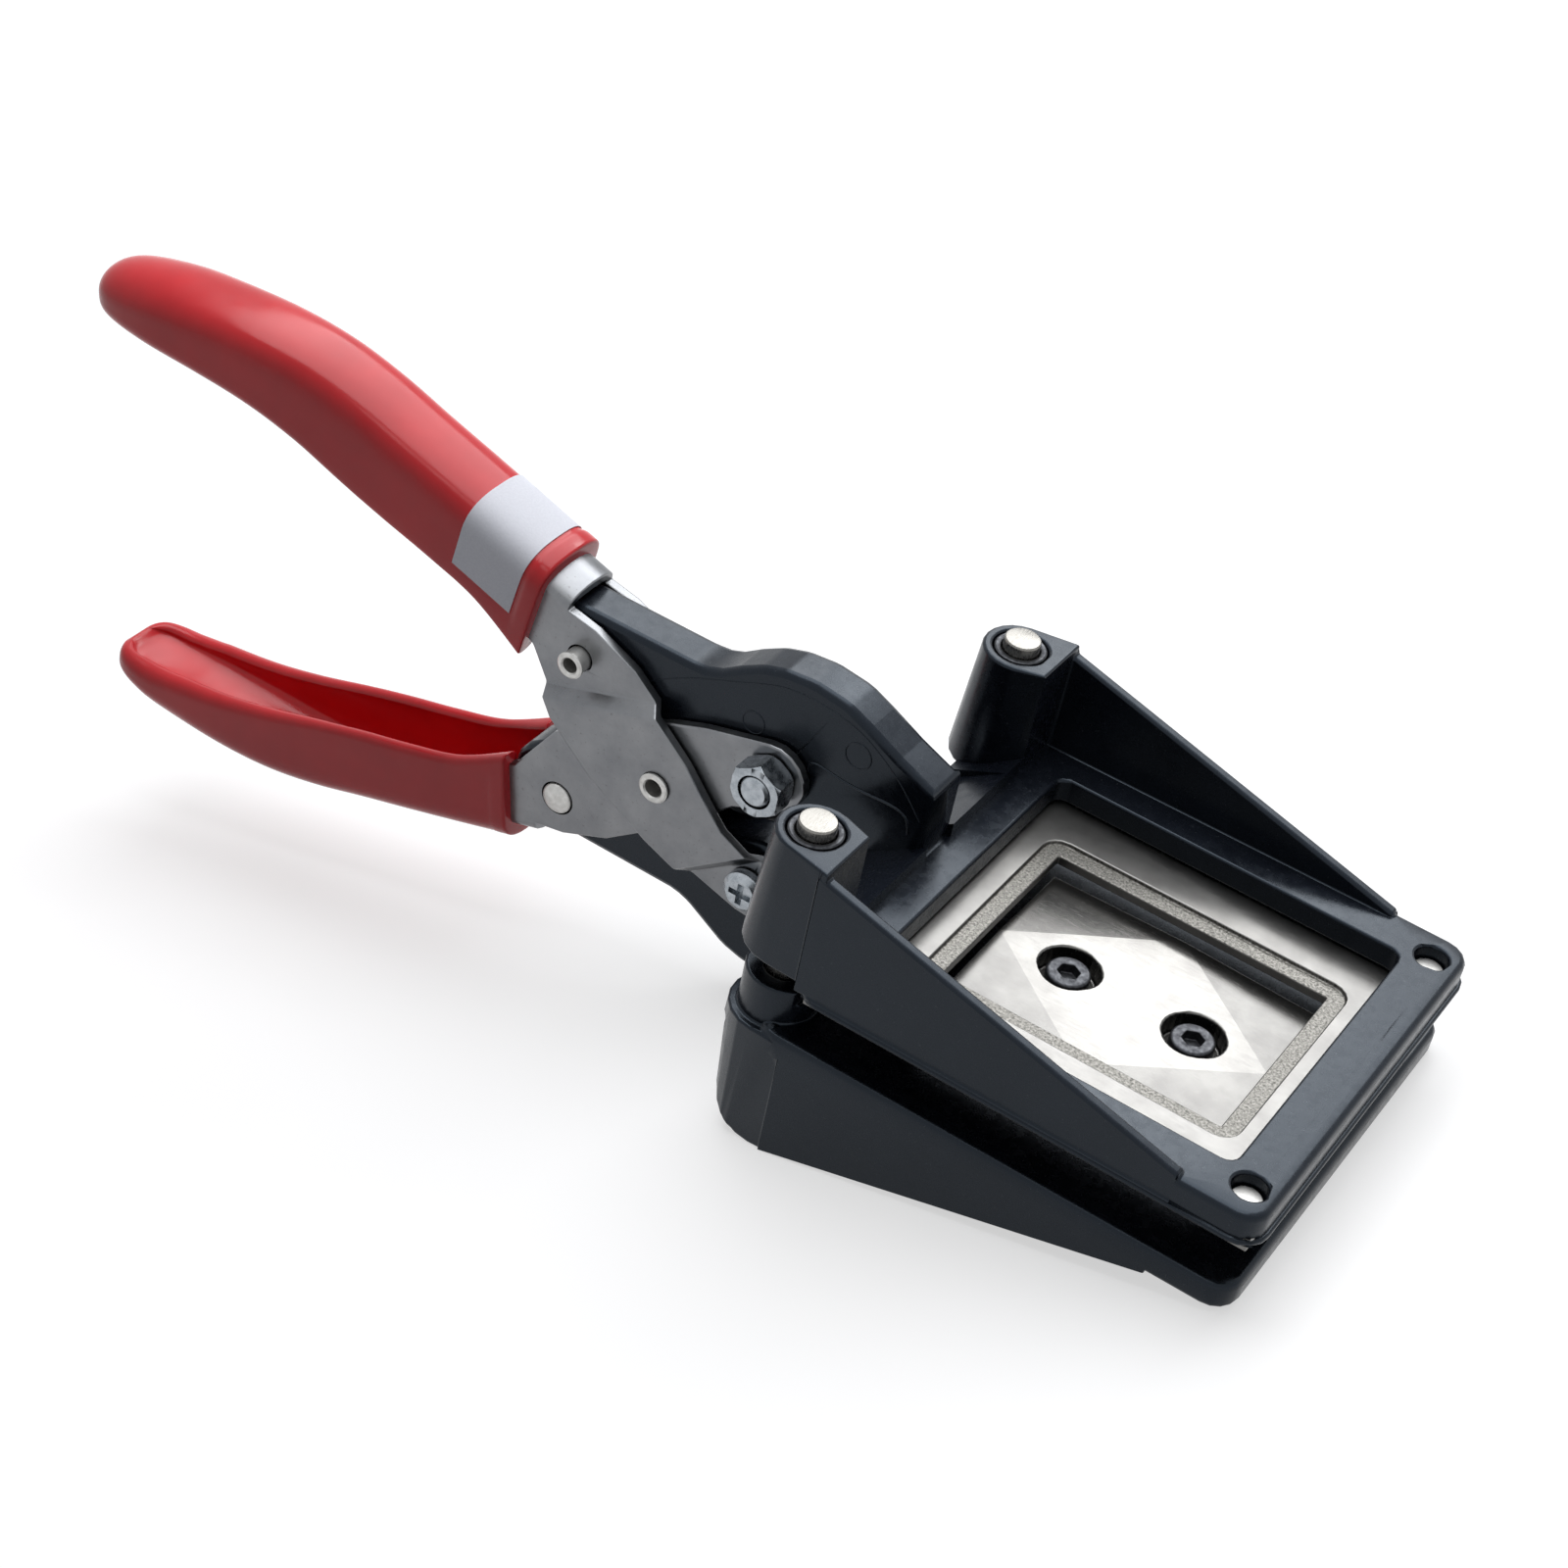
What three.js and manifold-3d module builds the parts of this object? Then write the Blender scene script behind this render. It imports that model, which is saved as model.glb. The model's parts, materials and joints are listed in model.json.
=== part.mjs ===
// A hand-held punch that cuts passport photos: two cast jaws that stay parallel, closed by crossing
// handles that are pressed from steel sheet and dipped in red vinyl.
// It is drawn with x towards its front, z along its guide pins and the middle of the cutting window
// at zero. At the end the whole tool is tipped back on to its heels, as it stands on a table.

import * as THREE from "three";
import { mergeVertices } from "three/addons/utils/BufferGeometryUtils.js";
import Module from "manifold-3d";

const wasm = await Module();
wasm.setup();

// Fits, in millimetres
const fit = 0.3; // room between two pieces that touch
const overrun = 4; // how far a cutter runs past what it cuts
const weld = 0.00001; // the distance at which two corners are one

// How finely round stretches are faceted
const roundSides = 28;
const arcStep = Math.PI / 8;
const archSteps = 10;
const bossSteps = 12;
const coilSides = 8;
const wireSides = 5;

// What the tool cuts, and the ground steel die and punch
const photoLength = 45;
const photoWidth = 35;
const dieThickness = 2.3;
const landDepth = 0.7;
const landWidth = 2.8;
const landCorner = 3;
const dieEdge = 1.2;
const punchDrop = 3.06;
const punchScrewReach = 10.3;
const punchSinkRadius = 4.7;
const punchSinkDepth = 3.6;

// The frame of the upper jaw round its recess
const recessFrontMargin = 5.9;
const recessRearMargin = 6.7;
const recessSideMargin = 10.7;
const recessCorner = 2;
const frameWall = 8.2;
const frameRearWall = 6.8;
const frameHeight = 5.1;
const frameCorner = 4;
const frameEdge = 1.1;
const lipHeight = 0.9;
const lipProud = 0.5;

// The sloping wings at both sides of each jaw
const wingThickness = 3;
const wingTopThickness = 2;
const wingTopEdge = 0.4;
const wingRearHeight = 21.8;
const wingFrontHeight = 5.8;
const wingFrontBack = 12.8;
const footSlope = 0.2868;
const footFrontBack = 13;
const footHeelRadius = 7;

// The bosses that hold the guide pins
const guideBack = 5.2;
const guideInset = 7.35;
const guideRadius = 2.82;
const guideTop = 24.4;
const guideFloor = 3;
const bushWall = 0.9;
const bossRadius = 5.8;
const bossRootRadius = 7.2;
const bossTop = 22.7;
const bossBottom = 2.5;
const bossFront = 1.2;
const bossInner = 11.3;

// The plate of the lower jaw and its ribs
const lowerTop = 8.6;
const lowerThickness = 4.7;
const ribThickness = 3;
const ribRearDepth = 6.6;
const ribFrontDepth = 1.6;
const rearWebDepth = 8;

// The linkage, whose heights are measured from its middle plane
const middle = -3.7;
const pivotBack = 42;
const pinReach = 17.5;
const jawPinRise = 10.6;
const tailPinRise = 13.6;
const swing = THREE.MathUtils.degToRad(7.37);

// The flat arms that run back from the jaws
const armThickness = 7.6;
const armRise = 28.2;
const armFoot = 0.5;
const armFillet = 5;
const armFrontCorner = 1.5;
const tailRadius = 7.2;

// The steel handles and their vinyl grips
const sheet = 1.8;
const cheekEndRadius = 5.6;
const crownBare = 4.6;
const crownLeg = 9;
const joggleRamp = 1.6;
const gripBack = 24.4;
const gripLength = 94.2;
const gripRise = 40.6;
const vinyl = 1.4;
const innerVinyl = 0.9;
const crownDrop = 4.1;
const rimRound = 1.6;
const collarLength = 3.5;
const collarProud = 0.6;
const labelThickness = 0.25;
const labelGap = 0.8;
const labelLength = 12;
const labelDrop = 12.4;
const labelFarShare = 0.1;

// Pins, rivets, screws and the spring
const centerRivetRadius = 2.3;
const centerRivetBore = 1.5;
const tailRivetRadius = 2;
const tailRivetBore = 1.2;
const rivetLip = 0.25;
const rivetLipLength = 0.5;
const rivetProud = 0.7;
const domedRivetRadius = 2.6;
const domeHeight = 0.9;
const pivotBoltRadius = 2.5;
const nutAcross = 8;
const nutHeight = 4.4;
const nutChamfer = 0.5;
const boltProud = 0.3;
const boltBevel = 0.5;
const screwHeadRadius = 3.4;
const screwHeadHeight = 2.2;
const screwHeadRound = 0.9;
const crossWidth = 1;
const crossLength = 3.8;
const crossDepth = 1.3;
const punchScrewRadius = 2;
const punchHeadRadius = 3.4;
const punchHeadHeight = 2.6;
const socketAcross = 3;
const socketDepth = 1.6;
const dieScrewRadius = 2.3;
const dieHeadRadius = 3.8;
const dieHeadHeight = 1.3;
const dieScrewFrontInset = 4.5;
const dieScrewSideInset = 5.8;
const dieScrewRearInset = 3.6;
const dieScrewRearSide = 14.4;
const dieScrewEndDepth = 2.2;
const wireRadius = 0.6;
const coilRadius = 3.3;
const coilPitch = 1.75;
const coilTurns = 3.5;
const coilLeg = 19;

// Sizes that follow from the ones above
const windowX = photoLength / 2;
const windowY = photoWidth / 2;
const recessRear = -windowX - recessRearMargin;
const recessFront = windowX + recessFrontMargin;
const recessHalf = windowY + recessSideMargin;
const headRear = recessRear - frameRearWall;
const headFront = recessFront + frameWall;
const headHalf = recessHalf + frameWall;
const guideX = headRear - guideBack;
const guideY = headHalf - guideInset;
const dieBottom = landDepth - dieThickness;
const lowerBottom = -lowerTop - lowerThickness;
const heelX = guideX - bossRadius;
const toeX = headFront - footFrontBack;
const heelBottom = lowerBottom - footSlope * (toeX - heelX);
const pivotX = headRear - pivotBack;
const jawPinX = pivotX + pinReach;
const tailPinX = pivotX - pinReach;
const jawPinZ = middle + jawPinRise;
const tailPinZ = middle + tailPinRise;
const lowJawPinZ = middle - jawPinRise;
const lowTailPinZ = middle - tailPinRise;
const armHalf = armThickness / 2;
const cheekIn = armHalf + fit;
const cheekOut = cheekIn + sheet;
const raisedIn = cheekOut + fit;
const raisedOut = raisedIn + sheet;
const rivetHalf = raisedOut + rivetProud;
const nutFace = cheekOut + fit;
const pinSpan = 2 * pinReach;
const stroke = pinSpan * Math.sin(swing) + 2 * jawPinRise * (1 - Math.cos(swing));
const edgeShare = 1 / 8; // the bevel on the end of a pin or screw
const slotTravel = (jawPinRise + tailPinRise) * Math.sin(swing) - pinSpan * (1 - Math.cos(swing));
const lowerBossTop = bossBottom - stroke - fit;
const guideBottom = lowerBottom - footSlope * (toeX - guideX) + guideFloor;

// Finishes
const blackPaint = { color: 0x15181d, roughness: 0.28, metalness: 0.1 };
const groundSteel = { color: 0xb9b6b0, roughness: 0.25, metalness: 1 };
const sheetSteel = { color: 0x8e9094, roughness: 0.42, metalness: 1 };
const brightSteel = { color: 0xcfd0d0, roughness: 0.2, metalness: 1 };
const zincPlate = { color: 0xb4bcc6, roughness: 0.3, metalness: 1 };
const blackSteel = { color: 0x2c2d2f, roughness: 0.4, metalness: 0.8 };
const redVinyl = { color: 0xc91f2d, roughness: 0.2, metalness: 0 };
const paper = { color: 0xe6e6ea, roughness: 0.7, metalness: 0 };

// A geometry as a solid that can be joined and cut, with its faces pointing out
function solid(geometry) {
  const bare = geometry.clone();
  bare.deleteAttribute("normal");
  bare.deleteAttribute("uv");
  const merged = mergeVertices(bare, weld);
  const corners = merged.index.array;
  const build = (order) => {
    const triVerts = [];
    for (let i = 0; i < corners.length; i += 3) {
      const [a, b, c] = order.map((k) => corners[i + k]);
      if (a !== b && b !== c && c !== a) triVerts.push(a, b, c);
    }
    const vertProperties = new Float32Array(merged.attributes.position.array);
    return new wasm.Manifold(new wasm.Mesh({ numProp: 3, vertProperties, triVerts: new Uint32Array(triVerts) }));
  };
  const made = build([0, 1, 2]);
  return made.volume() > 0 ? made : build([0, 2, 1]);
}

// A solid as a geometry that can be drawn
function drawn(body) {
  const mesh = body.getMesh();
  const geometry = new THREE.BufferGeometry();
  geometry.setAttribute("position", new THREE.BufferAttribute(new Float32Array(mesh.vertProperties), 3));
  geometry.setIndex(new THREE.BufferAttribute(new Uint32Array(mesh.triVerts), 1));
  return geometry;
}

const join = (bodies) => bodies.reduce((whole, body) => whole.add(body));
const cut = (body, cutters) => cutters.reduce((rest, cutter) => rest.subtract(cutter), body);

const tool = new THREE.Group();

function add(name, body, finish) {
  const geometry = drawn(body);
  geometry.computeVertexNormals();
  const mesh = new THREE.Mesh(geometry, new THREE.MeshStandardMaterial({ ...finish, flatShading: true }));
  mesh.name = name;
  tool.add(mesh);
}

// An outline whose corners, each given as a place and a radius, are turned into arcs
function rounded(corners) {
  return corners.flatMap(([x, y, radius = 0], i) => {
    const at = new THREE.Vector2(x, y);
    const back = new THREE.Vector2(...corners.at(i - 1).slice(0, 2)).sub(at);
    const ahead = new THREE.Vector2(...corners[(i + 1) % corners.length].slice(0, 2)).sub(at);
    const room = Math.min(back.length(), ahead.length()) / 2;
    back.normalize();
    ahead.normalize();
    const inside = Math.acos(THREE.MathUtils.clamp(back.dot(ahead), -1, 1));
    const reach = Math.min(radius / Math.tan(inside / 2), room);
    if (reach < weld) return [at];
    const held = reach * Math.tan(inside / 2);
    const start = at.clone().addScaledVector(back, reach);
    const end = at.clone().addScaledVector(ahead, reach);
    const centre = at.clone().addScaledVector(back.add(ahead).normalize(), held / Math.sin(inside / 2));
    const from = start.sub(centre).angle();
    const turn = THREE.MathUtils.euclideanModulo(end.sub(centre).angle() - from + Math.PI, 2 * Math.PI) - Math.PI;
    return arc(centre, held, from, from + turn);
  });
}

function arc(centre, radius, from, to) {
  const steps = Math.max(1, Math.round(Math.abs(to - from) / arcStep));
  return Array.from({ length: steps + 1 }, (_, i) => {
    const angle = from + ((to - from) * i) / steps;
    return new THREE.Vector2(centre.x + radius * Math.cos(angle), centre.y + radius * Math.sin(angle));
  });
}

const rectangle = (x0, y0, x1, y1, radius = 0) => rounded([
  [x0, y0, radius],
  [x1, y0, radius],
  [x1, y1, radius],
  [x0, y1, radius],
]);

const polygon = (radius, x, y, sides) => Array.from({ length: sides }, (_, i) => {
  const angle = (2 * Math.PI * (i + 0.5)) / sides;
  return new THREE.Vector2(x + radius * Math.cos(angle), y + radius * Math.sin(angle));
});

// An outline moved outwards by a distance
function grown(points, distance) {
  const outwards = THREE.ShapeUtils.area(points) > 0 ? distance : -distance;
  return points.map((at, i) => {
    const back = at.clone().sub(points.at(i - 1)).normalize();
    const ahead = points[(i + 1) % points.length].clone().sub(at).normalize();
    const normal = new THREE.Vector2(back.y + ahead.y, -back.x - ahead.x).normalize();
    const spread = normal.x * back.y - normal.y * back.x;
    return at.clone().addScaledVector(normal, outwards / Math.max(spread, 0.5));
  });
}

// An outline seen from above, made into a block between two heights
function upright(points, low, high, edge = 0) {
  const geometry = new THREE.ExtrudeGeometry(new THREE.Shape(points), {
    depth: high - low - 2 * edge,
    bevelEnabled: edge > 0,
    bevelThickness: edge,
    bevelSize: edge,
    bevelOffset: -edge,
    bevelSegments: 2,
  });
  return solid(geometry.translate(0, 0, low + edge));
}

// An outline seen from the side, made into a plate between two distances from the middle
function sideways(points, low, high) {
  const geometry = new THREE.ExtrudeGeometry(new THREE.Shape(points), { depth: high - low, bevelEnabled: false });
  return solid(geometry.rotateX(Math.PI / 2).translate(0, high, 0));
}

// Round posts along z, round pins along y, and pieces turned about either line
const postZ = (radius, x, y, low, high) => upright(polygon(radius, x, y, roundSides), low, high);
const pinY = (radius, x, z, low, high) => sideways(polygon(radius, x, z, roundSides), low, high);
const profileOf = (places) => places.map(([radius, along]) => new THREE.Vector2(radius, along));
const turnedY = (places, x, z) => solid(new THREE.LatheGeometry(profileOf(places), roundSides).translate(x, 0, z));

function turnedZ(places, x, y) {
  return solid(new THREE.LatheGeometry(profileOf(places), roundSides).rotateX(Math.PI / 2).translate(x, y, 0));
}

// A closed skin over rings of places, with flat ends
function loft(given) {
  const outline = (ring) => ring.map(({ y, s }) => new THREE.Vector2(y, s));
  const turned = THREE.ShapeUtils.isClockWise(outline(given[0]));
  const rings = turned ? given.map((ring) => ring.toReversed()) : given;
  const count = rings[0].length;
  const last = (rings.length - 1) * count;
  const index = [];
  for (const [a, b, c] of THREE.ShapeUtils.triangulateShape(outline(rings[0]), [])) index.push(a, c, b);
  for (const [a, b, c] of THREE.ShapeUtils.triangulateShape(outline(rings.at(-1)), [])) {
    index.push(last + a, last + b, last + c);
  }
  for (let i = 0; i < last; i += count) {
    for (let j = 0; j < count; j += 1) {
      const next = (j + 1) % count;
      index.push(i + j, i + next, i + count + j);
      index.push(i + next, i + count + next, i + count + j);
    }
  }
  const places = rings.flat().flatMap(({ x, y, z }) => [x, y, z]);
  const geometry = new THREE.BufferGeometry();
  geometry.setAttribute("position", new THREE.Float32BufferAttribute(places, 3));
  geometry.setIndex(index);
  return solid(geometry);
}

// The same solid on the other side of the linkage's middle plane
function mirrored(body) {
  return solid(drawn(body).translate(0, 0, -middle).scale(1, 1, -1).translate(0, 0, middle));
}

// The angle at which a line from a place touches a circle
function touching(centre, radius, from, side) {
  const away = from.clone().sub(centre);
  return Math.atan2(away.y, away.x) + side * Math.acos(radius / away.length());
}

// A guide boss: a tapered round post drawn forward into its wing, with a radius at each end
function boss(side, low, high, lowRadius, highRadius) {
  const centre = new THREE.Vector2(guideX, guideY);
  const front = headRear + bossFront;
  const inner = new THREE.Vector2(front, headHalf - bossInner);
  const outer = new THREE.Vector2(front, headHalf);
  return loft([[low, lowRadius], [high, highRadius]].map(([z, radius]) => {
    const start = touching(centre, radius, outer, 1);
    const turn = touching(centre, radius, inner, -1) + 2 * Math.PI - start;
    const round = Array.from({ length: bossSteps + 1 }, (_, i) => {
      const angle = start + (turn * i) / bossSteps;
      return [centre.x + radius * Math.cos(angle), centre.y + radius * Math.sin(angle)];
    });
    return [[inner.x, inner.y], [outer.x, outer.y], ...round].map(([x, y]) => ({ x, y: side * y, z, s: x }));
  }));
}

// A wing of the upper jaw, which grows thinner towards its sloping top
function upperWing(side) {
  const ends = [[headRear, wingRearHeight], [headFront - wingFrontBack, wingFrontHeight]];
  return loft(ends.map(([x, top]) => [
    [headHalf, lipHeight],
    [headHalf, top - wingTopEdge],
    [headHalf - wingTopEdge, top],
    [headHalf - wingTopThickness + wingTopEdge, top],
    [headHalf - wingTopThickness, top - wingTopEdge],
    [headHalf - wingThickness, lipHeight],
  ].map(([y, z]) => ({ x, y: side * y, z, s: z }))));
}

// The side view of an arm, from its slotted tail over its hump to the face on the frame
const upperHumpShares = [
  [0, 0.745],
  [0.09, 0.762],
  [0.18, 0.86],
  [0.27, 0.94],
  [0.36, 0.985],
  [0.48, 1.005],
  [0.62, 0.98],
  [0.72, 0.915],
  [0.85, 0.82],
];
const lowerHumpShares = [
  [0.1, 0.744],
  [0.16, 0.775],
  [0.245, 0.849],
  [0.33, 0.925],
  [0.43, 0.965],
  [0.6, 0.965],
  [0.72, 0.91],
  [0.85, 0.82],
];
const armFrontShare = 0.72;

function armOutline(humpShares) {
  const tailX = tailPinX - slotTravel;
  const hump = humpShares.map(([x, z]) => [pivotX + x * pivotBack, middle + z * armRise, armFillet]);
  return rounded([
    [tailX - tailRadius, tailPinZ + tailRadius, tailRadius],
    ...hump,
    [headRear + armFoot, middle + armFrontShare * armRise, armFrontCorner],
    [headRear + armFoot, 0],
    [jawPinX, 0, armFillet],
    [(jawPinX + pivotX) / 2, tailPinZ - tailRadius, armFillet],
    [tailX - tailRadius, tailPinZ - tailRadius, tailRadius],
  ]);
}

// An arm with the slot for its tail rivet and the bore for its jaw pin
function arm(humpShares, rivetRadius) {
  const reach = rivetRadius + fit;
  const through = armHalf + overrun;
  const slot = rectangle(
    tailPinX - slotTravel - reach,
    tailPinZ - reach,
    tailPinX + reach,
    tailPinZ + reach,
    reach,
  );
  return cut(sideways(armOutline(humpShares), -armHalf, armHalf), [
    sideways(slot, -through, through),
    pinY(pivotBoltRadius + fit, jawPinX, jawPinZ, -through, through),
  ]);
}

// The rounded roots of an arm where it meets the plate of its jaw
function armRoots(low, high) {
  const inside = headRear + armFillet;
  const root = armHalf + armFillet;
  return upright(rounded([
    [inside, -root],
    [headRear, -root],
    [headRear, -armHalf, armFillet],
    [headRear - armFillet, -armHalf],
    [headRear - armFillet, armHalf],
    [headRear, armHalf, armFillet],
    [headRear, root],
    [inside, root],
  ]), low, high);
}

const screwFrontX = headFront - dieScrewFrontInset;
const screwRearX = headRear + dieScrewRearInset;
const frontEnd = { top: frameHeight - dieScrewEndDepth, bore: frameHeight + overrun };
const rearEnd = { top: frameHeight / 2, bore: frameHeight / 2 + fit };
const dieScrewPlaces = [
  { name: "front_left", x: screwFrontX, y: headHalf - dieScrewSideInset, ...frontEnd },
  { name: "front_right", x: screwFrontX, y: dieScrewSideInset - headHalf, ...frontEnd },
  { name: "rear_left", x: screwRearX, y: headHalf - dieScrewRearSide, ...rearEnd },
  { name: "rear_right", x: screwRearX, y: dieScrewRearSide - headHalf, ...rearEnd },
];

// A wing of the lower jaw, as a plate that is trimmed to its slope later
function lowerWing(outline, side) {
  const inner = headHalf - wingThickness;
  return side > 0 ? sideways(outline, inner, headHalf) : sideways(outline, -headHalf, -inner);
}

function upperCasting() {
  const frame = rectangle(headRear, -headHalf, headFront, headHalf, frameCorner);
  const lip = grown(frame, lipProud);
  const parts = [upright(frame, 0, frameHeight, frameEdge), upright(lip, 0, lipHeight), armRoots(0, frameHeight)];
  for (const side of [-1, 1]) {
    parts.push(upperWing(side));
    parts.push(boss(side, bossBottom, bossTop, bossRootRadius, bossRadius));
  }
  const dieHalf = headHalf - dieEdge + fit;
  const dieSeat = rectangle(headRear + dieEdge - fit, -dieHalf, headFront - dieEdge + fit, dieHalf);
  const recess = rectangle(recessRear, -recessHalf, recessFront, recessHalf, recessCorner);
  const cutters = [
    upright(recess, -overrun, frameHeight + overrun),
    upright(dieSeat, -overrun, landDepth + fit),
  ];
  for (const side of [-1, 1]) {
    cutters.push(postZ(guideRadius + bushWall + 2 * fit, guideX, side * guideY, -overrun, bossTop + overrun));
  }
  for (const { x, y, bore } of dieScrewPlaces) cutters.push(postZ(dieScrewRadius + fit, x, y, -overrun, bore));
  return cut(join([...parts, arm(upperHumpShares, tailRivetRadius)]), cutters);
}

// The side view that the lower jaw is trimmed to, which leaves its two sloping feet
function lowerTrim() {
  return rounded([
    [heelX - overrun, overrun],
    [headFront + overrun, overrun],
    [headFront + overrun, lowerBottom],
    [toeX, lowerBottom],
    [heelX, heelBottom, footHeelRadius],
    [heelX, lowerBottom],
    [heelX - overrun, lowerBottom],
  ]);
}

function lowerCasting() {
  const under = heelBottom - overrun;
  const inside = -lowerTop - frameEdge;
  const plate = rectangle(guideX, -headHalf, headFront - lipProud, headHalf, frameCorner);
  const wing = rectangle(headRear, under, toeX, inside);
  const rib = rounded([
    [headRear, inside],
    [toeX, inside],
    [toeX, lowerBottom - ribFrontDepth],
    [headRear, lowerBottom - ribRearDepth],
  ]);
  const web = rectangle(guideX - ribThickness, -guideY, guideX, guideY);
  const body = [
    upright(plate, lowerBottom, -lowerTop, frameEdge),
    sideways(rib, -ribThickness / 2, ribThickness / 2),
    upright(web, lowerBottom - rearWebDepth, inside),
  ];
  for (const side of [-1, 1]) {
    body.push(lowerWing(wing, side));
    body.push(boss(side, heelBottom, inside, bossRadius, bossRootRadius));
    body.push(postZ(bossRadius, guideX, side * guideY, under, lowerBossTop));
  }
  const framePath = rectangle(headRear - lipProud - fit, -headHalf, headRear + overrun, headHalf);
  const trim = sideways(lowerTrim(), -headHalf - overrun, headHalf + overrun);
  const cutters = [-1, 1].flatMap((side) => [
    postZ(guideRadius + fit, guideX, side * guideY, guideBottom - fit, overrun),
    postZ(punchScrewRadius + fit, side * punchScrewReach, 0, under, overrun),
  ]);
  cutters.push(upright(framePath, -stroke - fit, overrun));
  const roots = armRoots(lowerBottom, inside);
  return cut(join([join(body).intersect(trim), mirrored(arm(lowerHumpShares, domedRivetRadius)), roots]), cutters);
}

function diePlate() {
  const half = headHalf - dieEdge;
  const outline = rectangle(headRear + dieEdge, -half, headFront - dieEdge, half);
  const opening = rectangle(-windowX, -windowY, windowX, windowY);
  const land = rounded(grown(opening, landWidth).map(({ x, y }) => [x, y, landCorner]));
  const cutters = [upright(opening, dieBottom - overrun, overrun), upright(land, 0, overrun)];
  for (const { x, y } of dieScrewPlaces) {
    cutters.push(postZ(dieScrewRadius + fit, x, y, dieBottom - overrun, overrun));
    cutters.push(turnedZ([
      [0, dieBottom - overrun],
      [dieHeadRadius + fit, dieBottom - overrun],
      [dieHeadRadius + fit, dieBottom],
      [dieScrewRadius + fit, dieBottom + dieHeadHeight + fit],
      [0, dieBottom + dieHeadHeight + fit],
    ], x, y));
  }
  return cut(upright(outline, dieBottom, landDepth), cutters);
}

// A countersunk screw that holds the die plate up against the jaw
function dieScrew({ x, y, top }) {
  const neck = dieBottom + dieHeadHeight;
  const edge = (dieHeadRadius - dieScrewRadius) * edgeShare;
  return turnedZ([
    [0, dieBottom],
    [dieHeadRadius, dieBottom],
    [dieHeadRadius, dieBottom + edge],
    [dieScrewRadius, neck],
    [dieScrewRadius, top],
    [0, top],
  ], x, y);
}

function punchBlock() {
  const block = rectangle(-windowX + fit, -windowY + fit, windowX - fit, windowY - fit);
  const low = -lowerTop + fit;
  const cutters = [-1, 1].flatMap((side) => [
    postZ(punchSinkRadius, side * punchScrewReach, 0, -punchDrop - punchSinkDepth, overrun),
    postZ(punchScrewRadius + fit, side * punchScrewReach, 0, low - overrun, overrun),
  ]);
  return cut(upright(block, low, -punchDrop), cutters);
}

// A hexagon outline of a given width across its flats
const hexagon = (across, x, y) => polygon(across / 2 / Math.cos(Math.PI / 6), x, y, 6);

function punchScrew(x) {
  const seatZ = -punchDrop - punchSinkDepth + fit;
  const headTop = seatZ + punchHeadHeight;
  const edge = punchHeadHeight * edgeShare;
  const body = turnedZ([
    [0, lowerBottom + fit],
    [punchScrewRadius, lowerBottom + fit],
    [punchScrewRadius, seatZ],
    [punchHeadRadius, seatZ],
    [punchHeadRadius, headTop - edge],
    [punchHeadRadius - edge, headTop],
    [0, headTop],
  ], x, 0);
  return cut(body, [upright(hexagon(socketAcross, x, 0), headTop - socketDepth, headTop + overrun)]);
}

function guidePin(side) {
  const edge = guideRadius * edgeShare;
  return turnedZ([
    [0, guideBottom],
    [guideRadius, guideBottom],
    [guideRadius, guideTop - edge],
    [guideRadius - edge, guideTop],
    [0, guideTop],
  ], guideX, side * guideY);
}

function guideBush(side) {
  const y = side * guideY;
  const ring = postZ(guideRadius + fit + bushWall, guideX, y, bossBottom, bossTop);
  return cut(ring, [postZ(guideRadius + fit, guideX, y, bossBottom - overrun, bossTop + overrun)]);
}

// The stations along a grip: the top of its crown and the rim of its open side, along and up, and
// its width
const gripShares = [
  [0, 0.65, 0.032, 0.229, 1],
  [0.104, 0.727, 0.128, 0.367, 1],
  [0.203, 0.798, 0.224, 0.441, 1],
  [0.306, 0.869, 0.32, 0.502, 1],
  [0.404, 0.938, 0.415, 0.569, 1.01],
  [0.505, 0.985, 0.512, 0.643, 1.03],
  [0.611, 1, 0.611, 0.7, 1.05],
  [0.718, 0.995, 0.718, 0.734, 1.06],
  [0.824, 0.98, 0.818, 0.751, 1.05],
  [0.909, 0.948, 0.898, 0.756, 0.98],
  [0.967, 0.899, 0.957, 0.761, 0.78],
  [0.995, 0.85, 0.989, 0.782, 0.45],
];
// The trough's width against the front's, and how far its floor has risen towards the rim
const troughWidthShares = [1, 1, 1, 1, 1, 1, 1, 1, 1.35, 1.5, 1.2];
const troughRiseShares = [0, 0, 0, 0, 0, 0, 0, 0, 0.25, 0.6, 1.1];
const gripX = pivotX - gripBack;
const tipFirstShare = 0.718;
const upperShape = { tipShare: 0.9, depthShare: 1 };
const lowerShape = { tipShare: 0.56, depthShare: 0.95 };
const steelLastStation = 7;
const collarRoundShare = 0.12;
const collarEndShare = 1.15;
const footArchShare = 0.5;
const footRoundShare = 0.25;
const gripHalf = cheekOut + fit + vinyl;
const steelTop = vinyl + fit;

// A cross-section of a grip, at a whole or a broken number of stations from its front
function station(number, { tipShare, depthShare }) {
  const base = THREE.MathUtils.clamp(Math.floor(number), 0, gripShares.length - 2);
  const share = gripShares[base].map((value, i) => {
    return THREE.MathUtils.lerp(value, gripShares[base + 1][i], number - base);
  });
  const along = (value) => gripX - (value - Math.max(value - tipFirstShare, 0) * (1 - tipShare)) * gripLength;
  const crown = new THREE.Vector2(along(share[0]), middle + share[1] * gripRise);
  const rim = new THREE.Vector2(along(share[2]), middle + share[3] * gripRise);
  const reach = crown.distanceTo(rim);
  const down = rim.sub(crown).divideScalar(reach);
  const depth = reach * depthShare;
  return { crown, down, depth, half: share[4] * gripHalf, width: share[4] };
}

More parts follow.
